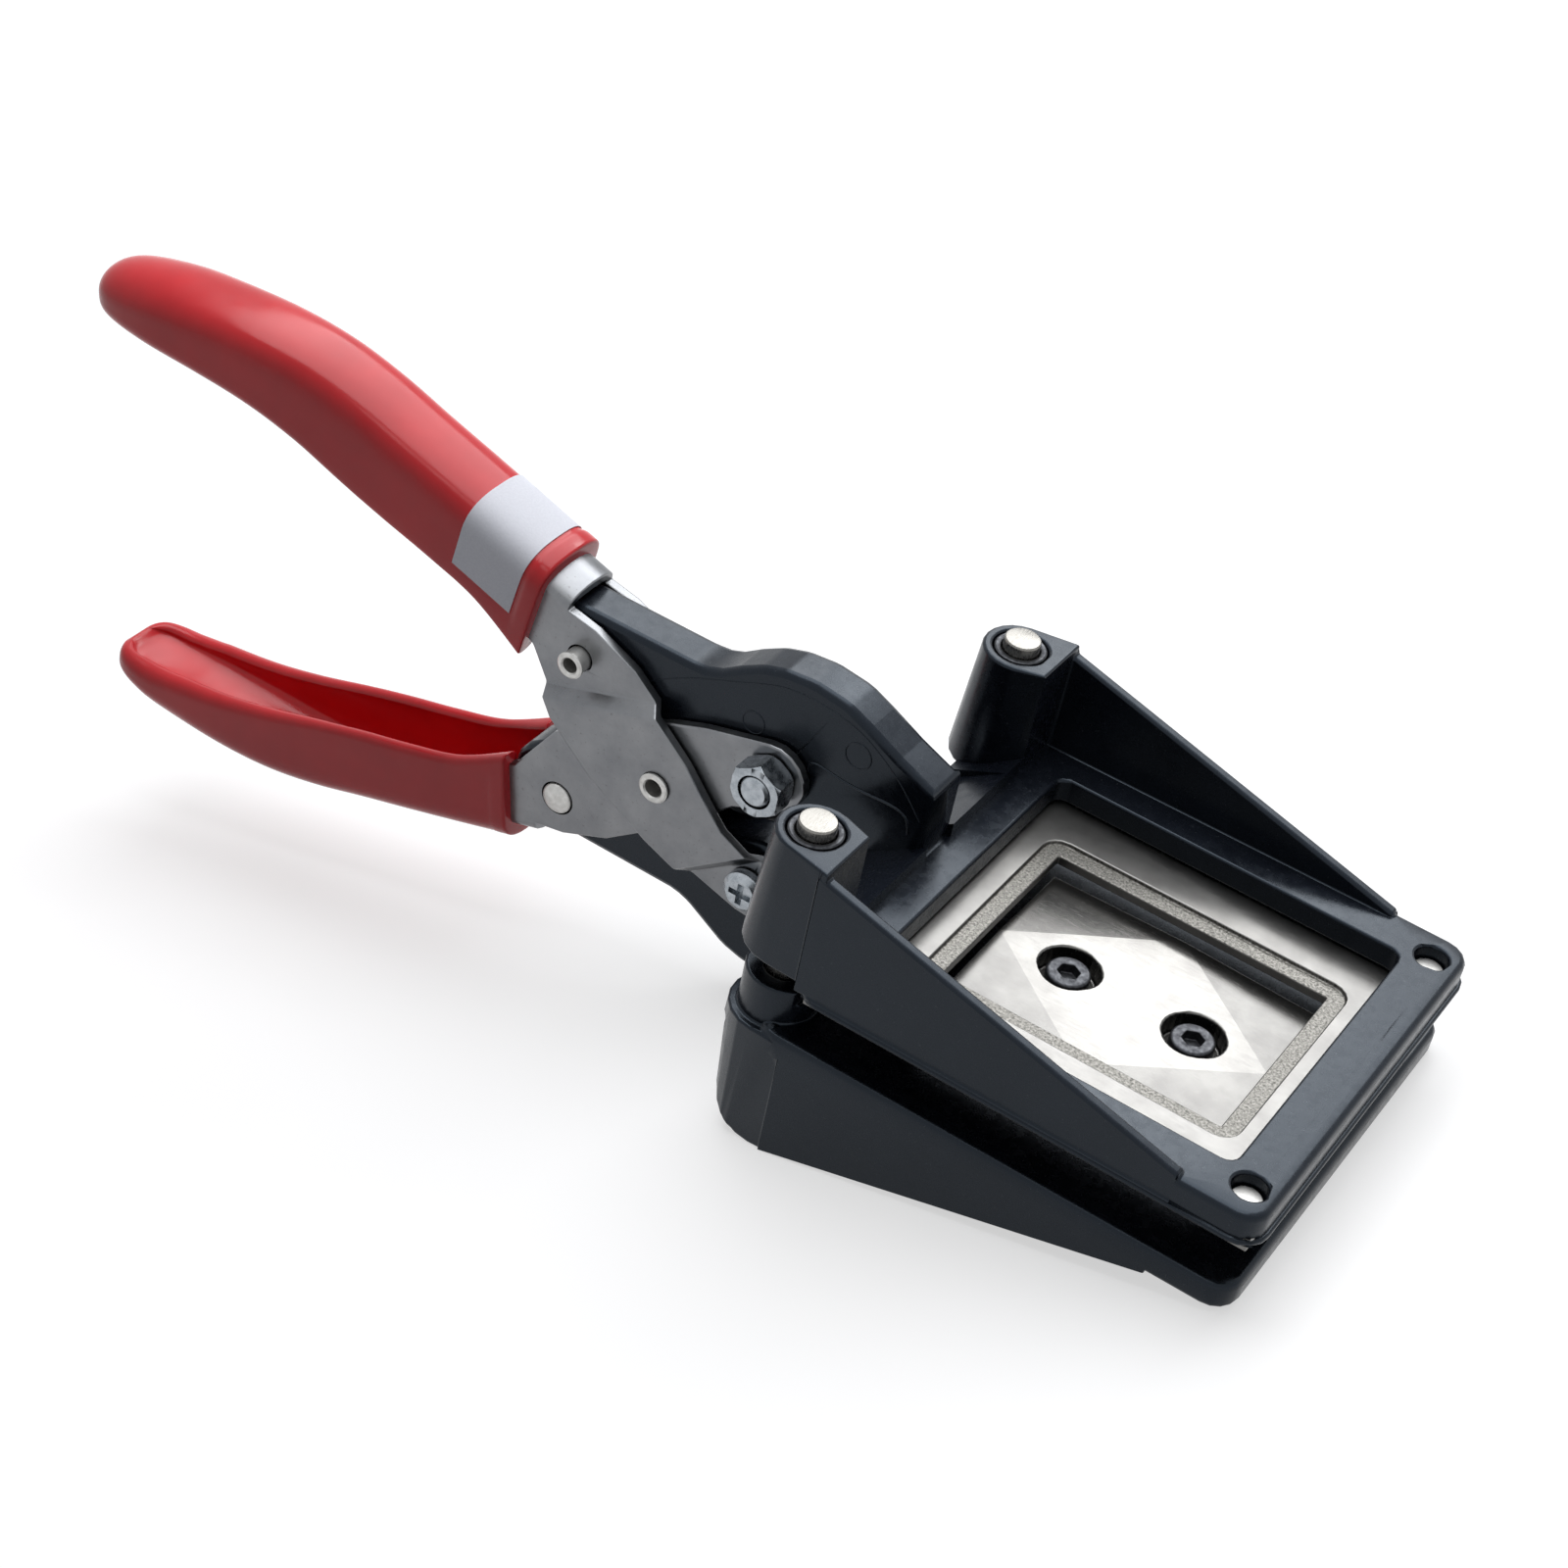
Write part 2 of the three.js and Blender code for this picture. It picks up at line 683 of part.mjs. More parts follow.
const stationLength = station(0, upperShape).crown.distanceTo(station(1, upperShape).crown);

// A place in a cross-section: across it, and down from its crown
const place = ({ crown, down }, y, s) => ({ x: crown.x + down.x * s, y, z: crown.y + down.y * s, s });

// An arch over the crown, from one side to the other
function arch(half, top, drop, steps) {
  return Array.from({ length: steps + 1 }, (_, i) => {
    const angle = (Math.PI * i) / steps;
    return [half * Math.cos(angle), top + drop * (1 - Math.sin(angle))];
  });
}

// The outside of a grip, with a raised collar at its front
function gripSkin(shape) {
  const collar = collarLength / stationLength;
  const numbers = [0, collar * collarRoundShare, collar, collar * collarEndShare];
  const proud = [collarProud / 2, collarProud, collarProud, 0];
  for (let number = 1; number < gripShares.length; number += 1) {
    numbers.push(number);
    proud.push(0);
  }
  return loft(numbers.map((number, i) => {
    const at = station(number, shape);
    const half = at.half + proud[i];
    const foot = at.depth + proud[i];
    const drop = Math.min(crownDrop + proud[i], foot * footArchShare);
    const round = Math.min(rimRound, foot * footRoundShare);
    return [
      ...arch(half, -proud[i], drop, archSteps),
      [-half, foot - round],
      [round - half, foot],
      [half - round, foot],
      [half, foot - round],
    ].map(([y, s]) => place(at, y, s));
  }));
}

// The hollow along the open side of a grip, which grows shallow and wide towards the tip
function gripTrough(shape) {
  const inner = cheekIn - fit - innerVinyl;
  const floor = steelTop + sheet + fit + innerVinyl;
  const rings = [-1, ...troughWidthShares.keys()].map((number) => {
    const at = station(number, shape);
    const i = Math.max(number, 0);
    const half = inner * troughWidthShares[i];
    const top = THREE.MathUtils.lerp(floor, at.depth, troughRiseShares[i]);
    const foot = Math.max(at.depth, top) + overrun;
    const drop = innerVinyl / 2;
    return [...arch(half, top, drop, archSteps / 2), [-half, foot], [half, foot]].map(([y, s]) => place(at, y, s));
  });
  const frontHalf = cheekIn - fit / 2;
  const front = [-1, 1].map((number) => {
    const at = station(number, shape);
    const foot = at.depth + overrun;
    return [...arch(frontHalf, floor, innerVinyl, archSteps / 2), [-frontHalf, foot], [frontHalf, foot]]
      .map(([y, s]) => place(at, y, s));
  });
  return loft(rings).add(loft(front));
}

// The pressed channel of a handle, from its bare front edge to its end inside the grip
function channel(room, shape) {
  const front = room ? -1 : -crownBare / stationLength;
  const numbers = [front, 0, ...Array.from({ length: steelLastStation }, (_, i) => i + 1)];
  return loft(numbers.map((number) => {
    const past = number === steelLastStation ? room / stationLength : 0;
    const at = station(number + past, shape);
    const foot = number > 0 ? at.depth - vinyl - fit + room : crownLeg;
    const outer = cheekOut + room + (at.width - 1) * gripHalf;
    const inner = outer - sheet - 2 * room;
    const outerArch = arch(outer, steelTop - room, crownDrop - steelTop + room, archSteps);
    const innerArch = arch(inner, steelTop + sheet + room, crownDrop - steelTop - sheet, archSteps);
    return [...outerArch, [-outer, foot], [-inner, foot], ...innerArch.reverse(), [inner, foot], [outer, foot]]
      .map(([y, s]) => place(at, y, s));
  }));
}

// The side view of a handle's cheek, from the jaw pin back into the grip
function cheekOutline(shape) {
  const end = new THREE.Vector2(jawPinX, lowJawPinZ);
  const backShares = [[0.3, -0.95], [-0.02, -0.787], [-0.66, -0.346], [-1.14, 0.147], [-1.486, 0.86]];
  const frontShares = [[-0.89, 1.44], [-0.45, 1.19], [0.02, 0.713], [0.25, 0.47], [0.51, 0.11], [0.7, -0.14]];
  const at = ([x, z]) => new THREE.Vector2(pivotX + x * pinReach, middle + z * tailPinRise);
  const inGrip = (number, s) => {
    const { x, z } = place(station(number, shape), 0, s);
    return new THREE.Vector2(x, z);
  };
  const firstLeg = station(1, shape).depth - vinyl - fit;
  const top = crownDrop + fit;
  const back = backShares.map(at);
  const front = frontShares.map(at);
  const from = touching(end, cheekEndRadius, front.at(-1), -1);
  const to = touching(end, cheekEndRadius, back[0], 1);
  return [
    inGrip(1, firstLeg),
    inGrip(1, top),
    inGrip(-crownBare / stationLength, top),
    ...front,
    ...arc(end, cheekEndRadius, from, to),
    ...back,
  ];
}

// A sheet that steps outwards over the crossing and back in at the jaw pin, seen from the side as
// bands between lines: how far along and up each line runs, its slope and the sheet's level there
const rearStepShares = { along: -0.143, up: 0.838, slope: 0.333 };
const frontStepShares = { along: 0.44, up: -0.831, slope: 0.787 };

function joggledSheet(side, room) {
  const far = pinSpan + overrun;
  const lines = [
    [rearStepShares, far, cheekIn],
    [rearStepShares, joggleRamp, cheekIn],
    [rearStepShares, 0, raisedIn],
    [frontStepShares, 0, raisedIn],
    [frontStepShares, -joggleRamp, cheekIn],
    [frontStepShares, -far, cheekIn],
  ];
  return loft(lines.map(([{ along, up, slope }, shift, level]) => {
    const inside = level - room;
    const outside = level + sheet + room;
    return [[-far, inside], [far, inside], [far, outside], [-far, outside]].map(([x, y]) => {
      const rise = slope * (x - along * pinReach) + shift * Math.hypot(1, slope);
      return { x: pivotX + x, y: side * y, z: middle + up * tailPinRise + rise, s: x };
    });
  }));
}

function cheek(side, joggled, room, shape) {
  const outline = room ? grown(cheekOutline(shape), room) : cheekOutline(shape);
  const low = side > 0 ? cheekIn - room : -cheekOut - room;
  const flat = sideways(outline, low, low + sheet + 2 * room);
  if (!joggled) return flat;
  return sideways(outline, -raisedOut - overrun, raisedOut + overrun).intersect(joggledSheet(side, room));
}

// A handle as it is drawn for the upper side, with cheeks that are flat or stepped outwards
function handleSteel(joggled, shape, holes) {
  const body = join([channel(0, shape), cheek(-1, joggled, 0, shape), cheek(1, joggled, 0, shape)]);
  const through = raisedOut + overrun;
  return cut(body, holes.map(([radius, x, z]) => pinY(radius + fit, x, z, -through, through)));
}

function grip(shape) {
  const pocket = join([channel(fit, shape), cheek(-1, false, fit, shape), cheek(1, false, fit, shape)]);
  return cut(gripSkin(shape), [gripTrough(shape), pocket]);
}

// A paper label bent over the crown and down one side of the grip
function sizeLabel() {
  const start = (collarLength + labelGap) / stationLength;
  const numbers = [start, 1, start + labelLength / stationLength];
  const skip = Math.round(archSteps * labelFarShare);
  return loft(numbers.map((number) => {
    const at = station(number, upperShape);
    const path = (proud) => [
      ...arch(at.half + proud, -proud, crownDrop + proud, archSteps).slice(skip),
      [-at.half - proud, labelDrop],
    ];
    return [...path(fit + labelThickness), ...path(fit).reverse()].map(([y, s]) => place(at, y, s));
  }));
}

// A hollow rivet with both ends opened out a little
function hollowRivet(radius, bore, x, z) {
  return turnedY([
    [bore, -rivetHalf],
    [radius + rivetLip, -rivetHalf],
    [radius, rivetLipLength - rivetHalf],
    [radius, rivetHalf - rivetLipLength],
    [radius + rivetLip, rivetHalf],
    [bore, rivetHalf],
    [bore, -rivetHalf],
  ], x, z);
}

// A solid rivet with a low dome at each end
const domeShares = [0, 0.35, 0.65, 0.87, 1];

function domedRivet(x, z) {
  const dome = (side) => domeShares.map((share) => [
    domedRivetRadius * share,
    side * (cheekOut + domeHeight * Math.sqrt(1 - share * share)),
  ]);
  return turnedY([...dome(-1), ...dome(1).reverse()], x, z);
}

// A hexagon along y with its corners bevelled at both faces
function hexBlock(x, z, low, high) {
  const radius = nutAcross / 2 / Math.cos(Math.PI / 6);
  const turned = turnedY([
    [0, low],
    [radius - nutChamfer, low],
    [radius, low + nutChamfer],
    [radius, high - nutChamfer],
    [radius - nutChamfer, high],
    [0, high],
  ], x, z);
  return sideways(hexagon(nutAcross, x, z), low, high).intersect(turned);
}

function nut(x, z, side) {
  const low = side > 0 ? nutFace : -nutFace - nutHeight;
  const through = nutFace + nutHeight + overrun;
  return cut(hexBlock(x, z, low, low + nutHeight), [pinY(pivotBoltRadius + fit, x, z, -through, through)]);
}

// The hexagon bolt that joins the lower handle to the upper arm, with its head on the far side
function pivotBolt(x, z) {
  const tip = -nutFace - nutHeight - boltProud;
  const shank = turnedY([
    [0, tip],
    [pivotBoltRadius - boltBevel, tip],
    [pivotBoltRadius, tip + boltBevel],
    [pivotBoltRadius, nutFace + nutHeight / 2],
    [0, nutFace + nutHeight / 2],
  ], x, z);
  return shank.add(hexBlock(x, z, nutFace, nutFace + nutHeight));
}

// The cross-recess screw that joins the upper handle to the lower arm
function pivotScrew(x, z) {
  const face = -nutFace - screwHeadHeight;
  const tip = nutFace + nutHeight + boltProud;
  const body = turnedY([
    [0, face],
    [screwHeadRadius - screwHeadRound, face],
    [screwHeadRadius, face + screwHeadRound],
    [screwHeadRadius, -nutFace],
    [pivotBoltRadius, -nutFace],
    [pivotBoltRadius, tip - boltBevel],
    [pivotBoltRadius - boltBevel, tip],
    [0, tip],
  ], x, z);
  const arms = [[crossLength, crossWidth], [crossWidth, crossLength]].map(([long, wide]) => {
    const slot = rectangle(x - long / 2, z - wide / 2, x + long / 2, z + wide / 2);
    return sideways(slot, face - overrun, face + crossDepth);
  });
  return cut(body, arms);
}

// The wire spring round the middle rivet: one leg under each arm's tail, joined by the curls
function returnSpring() {
  const legRise = tailPinRise - tailRadius - fit - wireRadius;
  const half = (coilPitch * coilTurns) / 2;
  const steps = coilSides * coilTurns;
  const legPoint = (side, share) => new THREE.Vector3(
    pivotX - coilLeg * share,
    side * half,
    middle + side * THREE.MathUtils.lerp(coilRadius, legRise, share),
  );
  const points = [legPoint(1, 1), legPoint(1, 0.5)];
  for (let step = 0; step <= steps; step += 1) {
    const angle = Math.PI / 2 - (2 * Math.PI * step) / coilSides;
    const across = half - (coilPitch * step) / coilSides;
    points.push(new THREE.Vector3(
      pivotX + coilRadius * Math.cos(angle),
      across,
      middle + coilRadius * Math.sin(angle),
    ));
  }
  points.push(legPoint(-1, 0.5), legPoint(-1, 1));
  let gap = Infinity;
  points.forEach((point, i) => points.slice(i + coilSides / 2).forEach((other) => {
    gap = Math.min(gap, point.distanceTo(other) - 2 * wireRadius);
  }));
  console.log(`least gap between curls of the spring: ${gap.toFixed(2)} mm`);
  const section = new THREE.Shape(polygon(wireRadius, 0, 0, wireSides));
  const extrudePath = new THREE.CatmullRomCurve3(points, false, "catmullrom", 0.5);
  return solid(new THREE.ExtrudeGeometry(section, { steps: points.length - 1, extrudePath, bevelEnabled: false }));
}

add("lower_casting", lowerCasting(), blackPaint);
add("upper_casting", upperCasting(), blackPaint);
add("die_plate", diePlate(), groundSteel);
for (const screw of dieScrewPlaces) add(`die_screw_${screw.name}`, dieScrew(screw), brightSteel);
add("punch_block", punchBlock(), groundSteel);
add("punch_screw_front", punchScrew(punchScrewReach), blackSteel);
add("punch_screw_rear", punchScrew(-punchScrewReach), blackSteel);
for (const [name, side] of [["left", 1], ["right", -1]]) {
  add(`guide_pin_${name}`, guidePin(side), brightSteel);
  add(`guide_bush_${name}`, guideBush(side), brightSteel);
}
add("upper_handle", handleSteel(true, upperShape, [
  [tailRivetRadius, tailPinX, tailPinZ],
  [centerRivetRadius, pivotX, middle],
  [pivotBoltRadius, jawPinX, lowJawPinZ],
]), sheetSteel);
add("lower_handle", mirrored(handleSteel(false, lowerShape, [
  [domedRivetRadius, tailPinX, tailPinZ],
  [centerRivetRadius + fit, pivotX, middle],
  [pivotBoltRadius, jawPinX, lowJawPinZ],
])), sheetSteel);
add("upper_grip", grip(upperShape), redVinyl);
add("lower_grip", mirrored(grip(lowerShape)), redVinyl);
add("size_label", sizeLabel(), paper);
add("center_rivet", hollowRivet(centerRivetRadius, centerRivetBore, pivotX, middle), brightSteel);
add("upper_tail_rivet", hollowRivet(tailRivetRadius, tailRivetBore, tailPinX, tailPinZ), brightSteel);
add("lower_tail_rivet", domedRivet(tailPinX, lowTailPinZ), brightSteel);
add("upper_pivot_bolt", pivotBolt(jawPinX, jawPinZ), zincPlate);
add("upper_pivot_nut", nut(jawPinX, jawPinZ, -1), zincPlate);
add("lower_pivot_screw", pivotScrew(jawPinX, lowJawPinZ), zincPlate);
add("lower_pivot_nut", nut(jawPinX, lowJawPinZ, 1), zincPlate);
add("return_spring", returnSpring(), brightSteel);

// The tool leans back until its heels and the front edge of its lower plate stand on the table, with
// the middle of its footprint at zero
const frontEdge = new THREE.Vector2(headFront - lipProud - frameEdge, lowerBottom);
const leans = lowerTrim().filter(({ x }) => x < toeX).map((at) => frontEdge.clone().sub(at).angle());
const lean = Math.max(...leans.filter((angle) => angle < Math.PI / 2));
const photoPunch = new THREE.Group();
tool.rotation.y = lean;
photoPunch.add(tool);
photoPunch.updateMatrixWorld(true);
const bounds = new THREE.Box3().setFromObject(tool, true);
const centre = bounds.getCenter(new THREE.Vector3());
tool.position.set(-centre.x, -centre.y, -bounds.min.z);

export default photoPunch;
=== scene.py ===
# A hand-held punch that cuts passport photos: two black cast jaws with a ground die and punch,
# closed by crossing steel handles with red dipped grips. After the view, the sections follow the
# tool as it is put together.

import json
import math

import bmesh
import bpy
from mathutils import Matrix, Vector


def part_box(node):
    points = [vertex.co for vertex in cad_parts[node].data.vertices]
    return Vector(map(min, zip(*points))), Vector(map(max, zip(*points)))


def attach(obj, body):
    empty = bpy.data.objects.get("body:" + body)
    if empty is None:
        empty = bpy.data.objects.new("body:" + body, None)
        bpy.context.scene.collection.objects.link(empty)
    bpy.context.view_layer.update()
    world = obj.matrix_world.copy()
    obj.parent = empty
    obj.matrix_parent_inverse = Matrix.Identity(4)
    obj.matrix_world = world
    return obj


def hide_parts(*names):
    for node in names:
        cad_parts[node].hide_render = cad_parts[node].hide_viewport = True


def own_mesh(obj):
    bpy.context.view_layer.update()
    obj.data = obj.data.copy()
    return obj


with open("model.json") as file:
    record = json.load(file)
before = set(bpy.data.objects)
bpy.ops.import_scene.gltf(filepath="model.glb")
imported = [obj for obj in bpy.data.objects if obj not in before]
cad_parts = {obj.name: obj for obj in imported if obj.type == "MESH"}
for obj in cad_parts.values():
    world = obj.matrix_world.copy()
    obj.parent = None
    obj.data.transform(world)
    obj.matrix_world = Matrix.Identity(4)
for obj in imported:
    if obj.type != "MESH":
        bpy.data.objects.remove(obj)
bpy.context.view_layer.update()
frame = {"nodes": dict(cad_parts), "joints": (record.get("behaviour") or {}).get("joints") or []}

# The drawing and the view. The tool is drawn in millimetres, with x to its front, z up its guide
# pins and the middle of the cutting window at zero, and it leans back on its heels. The camera
# looks down on it from its right front.
slide = next(joint["axis"] for joint in frame["joints"] if joint["name"] == "jaw_slide")
lean = Matrix.Rotation(math.atan2(-slide[0], -slide[2]), 4, "Y")
crossing_x, linkage_z = -78, -3.7
crossing = sum(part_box("center_rivet"), Vector()) / 2
drawing = (
    Matrix.Translation(crossing)
    @ lean
    @ Matrix.Scale(0.001, 4)
    @ Matrix.Translation((-crossing_x, 0, -linkage_z))
)

eye = Vector((102.9355, -351.1567, 305.3041))
across = Vector((0.830835, 0.531204, 0.165939))
down = Vector((0.445804, -0.456789, -0.769807))
ahead = Vector((-0.333125, 0.713559, -0.616329))
film_width, focal_pixels, picture_width = 36, 3381.9, 1600


def placed(name, data):
    """A new object in the scene, from its mesh, curve, lamp or camera."""
    thing = bpy.data.objects.new(name, data)
    bpy.context.scene.collection.objects.link(thing)
    return thing


camera = placed("view", bpy.data.cameras.new("view"))
turn = Matrix((across, -down, -ahead)).transposed().to_4x4()
camera.matrix_world = Matrix.Translation(drawing @ eye) @ lean @ turn
camera.data.sensor_width = film_width
camera.data.lens = film_width * focal_pixels / picture_width
camera.data.clip_start = 0.02
camera.data.clip_end = 60
bpy.context.scene.camera = camera
bpy.context.scene.view_settings.view_transform = "Standard"


# The two jaws. Each is one aluminium die casting with a flat arm, sloping side wings and bosses
# for the guide pins, sprayed with black gloss enamel. Their edges are rounded by the mould, most
# of all along the arms.
edge_round, arm_round = 0.45, 1.1
arm_rear_of, arm_half = -36, 3.8
arm_root_rear, arm_root_front, arm_root_inner, arm_root_outer = -39.2, -34.9, 3.7, 6
joined_within, flat_within = 0.000002, math.radians(1)


def cast(piece):
    """The solid of a piece, with its corners joined and its flat faces whole."""
    mesh = bmesh.new()
    mesh.from_mesh(frame["nodes"][piece].data)
    bmesh.ops.remove_doubles(mesh, verts=mesh.verts, dist=joined_within)
    bmesh.ops.dissolve_limit(mesh, angle_limit=flat_within, verts=mesh.verts, edges=mesh.edges)
    return mesh


def closed(mesh, name):
    """The data of a mesh that is built, with its working copy let go."""
    data = bpy.data.meshes.new(name)
    mesh.to_mesh(data)
    mesh.free()
    return data


def shown(holder):
    """The mesh of an object with its modifiers or its curve made solid. The object is dropped."""
    result = bpy.data.meshes.new_from_object(
        holder.evaluated_get(bpy.context.evaluated_depsgraph_get())
    )
    bpy.data.objects.remove(holder)
    return result


def without_folds(data):
    """Leaves out the slivers that face against their own shading, where a round folded over."""
    shading = data.corner_normals
    normals = [[shading[i].vector.copy() for i in face.loop_indices] for face in data.polygons]
    folded = [
        sum(normal.dot(face.normal) for normal in corners) < 0
        for face, corners in zip(data.polygons, normals)
    ]
    mesh = bmesh.new()
    mesh.from_mesh(data)
    slivers = [face for face, bad in zip(mesh.faces, folded) if bad]
    bmesh.ops.delete(mesh, geom=slivers, context="FACES_ONLY")
    mesh.to_mesh(data)
    mesh.free()
    kept = [normal for corners, bad in zip(normals, folded) if not bad for normal in corners]
    data.normals_split_custom_set(kept)


def eased(mesh, round_at, sharp=24, crease=50):
    """The mesh with its sharp edges rounded, held inside the solid's own box."""
    widest, room_share = 0.0015, 0.38
    corners = [drawing.inverted() @ vertex.co for vertex in mesh.verts]
    low, high = (Vector(pick(axis) for axis in zip(*corners)) for pick in (min, max))
    foot, head = (pick(vertex.co.z for vertex in mesh.verts) for pick in (min, max))
    weight = mesh.edges.layers.float.new("bevel_weight_edge")
    for edge in mesh.edges:
        if len(edge.link_faces) == 2 and edge.calc_face_angle(0) > math.radians(sharp):
            room = min(face.calc_area() for face in edge.link_faces) / edge.calc_length()
            middle = drawing.inverted() @ ((edge.verts[0].co + edge.verts[1].co) / 2)
            edge[weight] = min(round_at(middle) / 1000, room * room_share) / widest
    bmesh.ops.triangulate(mesh, faces=[face for face in mesh.faces if len(face.verts) > 4])
    data = closed(mesh, "eased")
    data.shade_smooth()
    data.set_sharp_from_angle(angle=math.radians(crease))
    holder = placed("eased", data)
    bevel = holder.modifiers.new("edges", "BEVEL")
    bevel.limit_method = "WEIGHT"
    bevel.width = widest
    bevel.segments = 3
    bevel.use_clamp_overlap = False
    bevel.miter_outer = "MITER_ARC"
    flats = holder.modifiers.new("flats", "WEIGHTED_NORMAL")
    flats.keep_sharp = True
    flats.weight = 100
    result = shown(holder)
    without_folds(result)
    for vertex in result.vertices:
        place = drawing.inverted() @ vertex.co
        held = Vector(min(max(p, a), b) for p, a, b in zip(place, low, high))
        vertex.co = drawing @ held
        vertex.co.z = min(max(vertex.co.z, foot), head)
    return result


def evenly(size):
    """The same round, in millimetres, on every edge."""
    return lambda place: size


def fitted(name, data, material, body, nodes, sharp=32):
    """A mesh made into a piece that rides on its body and stands for its CAD nodes."""
    data.name = name
    data.materials.clear()
    data.materials.append(material)
    if not data.has_custom_normals:
        data.shade_smooth()
        data.set_sharp_from_angle(angle=math.radians(sharp))
    piece = placed(name, data)
    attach(piece, body)
    if nodes:
        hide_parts(*nodes)
    return piece


def finish(name, **sockets):
    """A new finish with plain values on the shader's own sockets."""
    material = bpy.data.materials.new(name)
    material.use_nodes = True
    shader = material.node_tree.nodes["Principled BSDF"]
    for socket, value in sockets.items():
        shader.inputs[socket.replace("_", " ")].default_value = value
    return material


def node(material, kind, inputs=(), **settings):
    """One shader node with its inputs set or joined up."""
    made = material.node_tree.nodes.new("ShaderNode" + kind)
    for key, value in settings.items():
        setattr(made, key, value)
    for key, value in dict(inputs).items():
        if isinstance(value, bpy.types.NodeSocket):
            material.node_tree.links.new(value, made.inputs[key])
        else:
            made.inputs[key].default_value = value
    return made


def onto(material, socket, value):
    """Joins a value to a socket of the material's shader."""
    shader = material.node_tree.nodes["Principled BSDF"]
    material.node_tree.links.new(value, shader.inputs[socket])


def in_drawing(material, stretch=(1, 1, 1)):
    """Places on a piece in the drawing's millimetres, drawn out along chosen axes."""
    place = node(material, "TexCoord").outputs["Object"]
    turn = -lean.to_euler().y
    inputs = {"Vector": place, "Rotation": (0, turn, 0), "Scale": (1000,) * 3}
    upright = node(material, "Mapping", inputs)
    return node(material, "Mapping", {"Vector": upright.outputs[0], "Scale": stretch}).outputs[0]


def grain(material, place, scale, detail=3, roughness=0.55):
    """Soft noise, from 0 to 1, at so many features to the millimetre."""
    inputs = {"Vector": place, "Scale": scale, "Detail": detail, "Roughness": roughness}
    return node(material, "TexNoise", inputs).outputs["Fac"]


def between(material, value, low, high, out_low, out_high):
    """A value spread from one range to another, held at the ends."""
    spread = node(material, "MapRange", {"Value": value, "From Min": low, "From Max": high})
    spread.inputs["To Min"].default_value = out_low
    spread.inputs["To Max"].default_value = out_high
    return spread.outputs[0]


def tinted(material, value, dark, light, low=0.3, high=0.7):
    """A colour that goes from dark to light as a value rises."""
    ramp = node(material, "ValToRGB", {"Fac": value})
    ramp.color_ramp.elements[0].position = low
    ramp.color_ramp.elements[0].color = (*dark, 1)
    ramp.color_ramp.elements[1].position = high
    ramp.color_ramp.elements[1].color = (*light, 1)
    return ramp.outputs["Color"]


def mixed(material, share, first, second):
    """Two colours mixed by a share of the second. Colours go in at the node's inputs 6 and 7."""
    mix = node(material, "Mix", {"Factor": share}, data_type="RGBA")
    material.node_tree.links.new(first, mix.inputs[6])
    if isinstance(second, bpy.types.NodeSocket):
        material.node_tree.links.new(second, mix.inputs[7])
    else:
        mix.inputs[7].default_value = (*second, 1)
    return mix.outputs[2]


def raised(material, heights):
    """Joins bumps to the shader, each a height, a depth in millimetres and a strength."""
    normal = None
    for height, depth, strength in heights:
        inputs = {"Height": height, "Distance": depth / 1000, "Strength": strength}
        if normal:
            inputs["Normal"] = normal
        normal = node(material, "Bump", inputs).outputs[0]
    onto(material, "Normal", normal)


enamel = finish("black_enamel", Specular_IOR_Level=0.3, Specular_Tint=(0.7, 0.84, 1, 1))
place = in_drawing(enamel)
cloud = grain(enamel, place, 0.09)
dust = between(enamel, grain(enamel, place, 2.1, 2), 0.69, 0.74, 0, 0.5)
black = tinted(enamel, cloud, (0.004, 0.005, 0.008), (0.008, 0.01, 0.015))
onto(enamel, "Base Color", mixed(enamel, dust, black, (0.07, 0.075, 0.085)))
onto(enamel, "Roughness", between(enamel, grain(enamel, place, 0.6, 4), 0.3, 0.7, 0.2, 0.32))
raised(
    enamel, [(grain(enamel, place, 0.25, 2), 0.09, 0.3), (grain(enamel, place, 4, 3), 0.005, 0.4)]
)

tail_x, upper_tail_z, lower_tail_z = -95.5, 9.9, -17.3
pivot_x, upper_pivot_z, lower_pivot_z = -57.86, 6.84, -14.24
bores = [(crossing_x, linkage_z), (tail_x, upper_tail_z), (tail_x, lower_tail_z)]
bores += [(pivot_x, upper_pivot_z), (pivot_x, lower_pivot_z)]
bore_reach, cheeks_reach = 3.4, 9


def by_a_bore(place):
    """Whether a place is on the rim of a rivet or pivot bore, which its head covers."""
    near = any(math.hypot(place.x - x, place.z - z) < bore_reach for x, z in bores)
    return near and abs(place.y) < cheeks_reach


def casting_round(place):
    """How far an edge of a casting is rounded: most on the arms' long edges, and not at all on
    the rims of the bores or where the narrow fillets of the arm's root run out."""
    by_the_root = arm_root_inner < abs(place.y) < arm_root_outer
    if by_a_bore(place) or (by_the_root and arm_root_rear < place.x < arm_root_front):
        return 0
    if place.x < arm_rear_of and abs(abs(place.y) - arm_half) < 0.1:
        return arm_round
    return edge_round


for jaw in ("lower", "upper"):
    fitted(
        f"{jaw}_jaw_casting",
        eased(cast(f"{jaw}_casting"), casting_round),
        enamel,
        f"{jaw}_jaw",
        [f"{jaw}_casting"],
    )


def shade_sheet(name, points, faces):
    """A small black sheet, given by its corners and faces, that rides on the upper casting."""
    data = bpy.data.meshes.new(name)
    data.from_pydata([drawing @ Vector(point) for point in points], [], faces)
    mesh = bmesh.new()
    mesh.from_mesh(data)
    bmesh.ops.recalc_face_normals(mesh, faces=mesh.faces)
    mesh.to_mesh(data)
    mesh.free()
    return fitted(name, data, enamel, "upper_jaw", [])
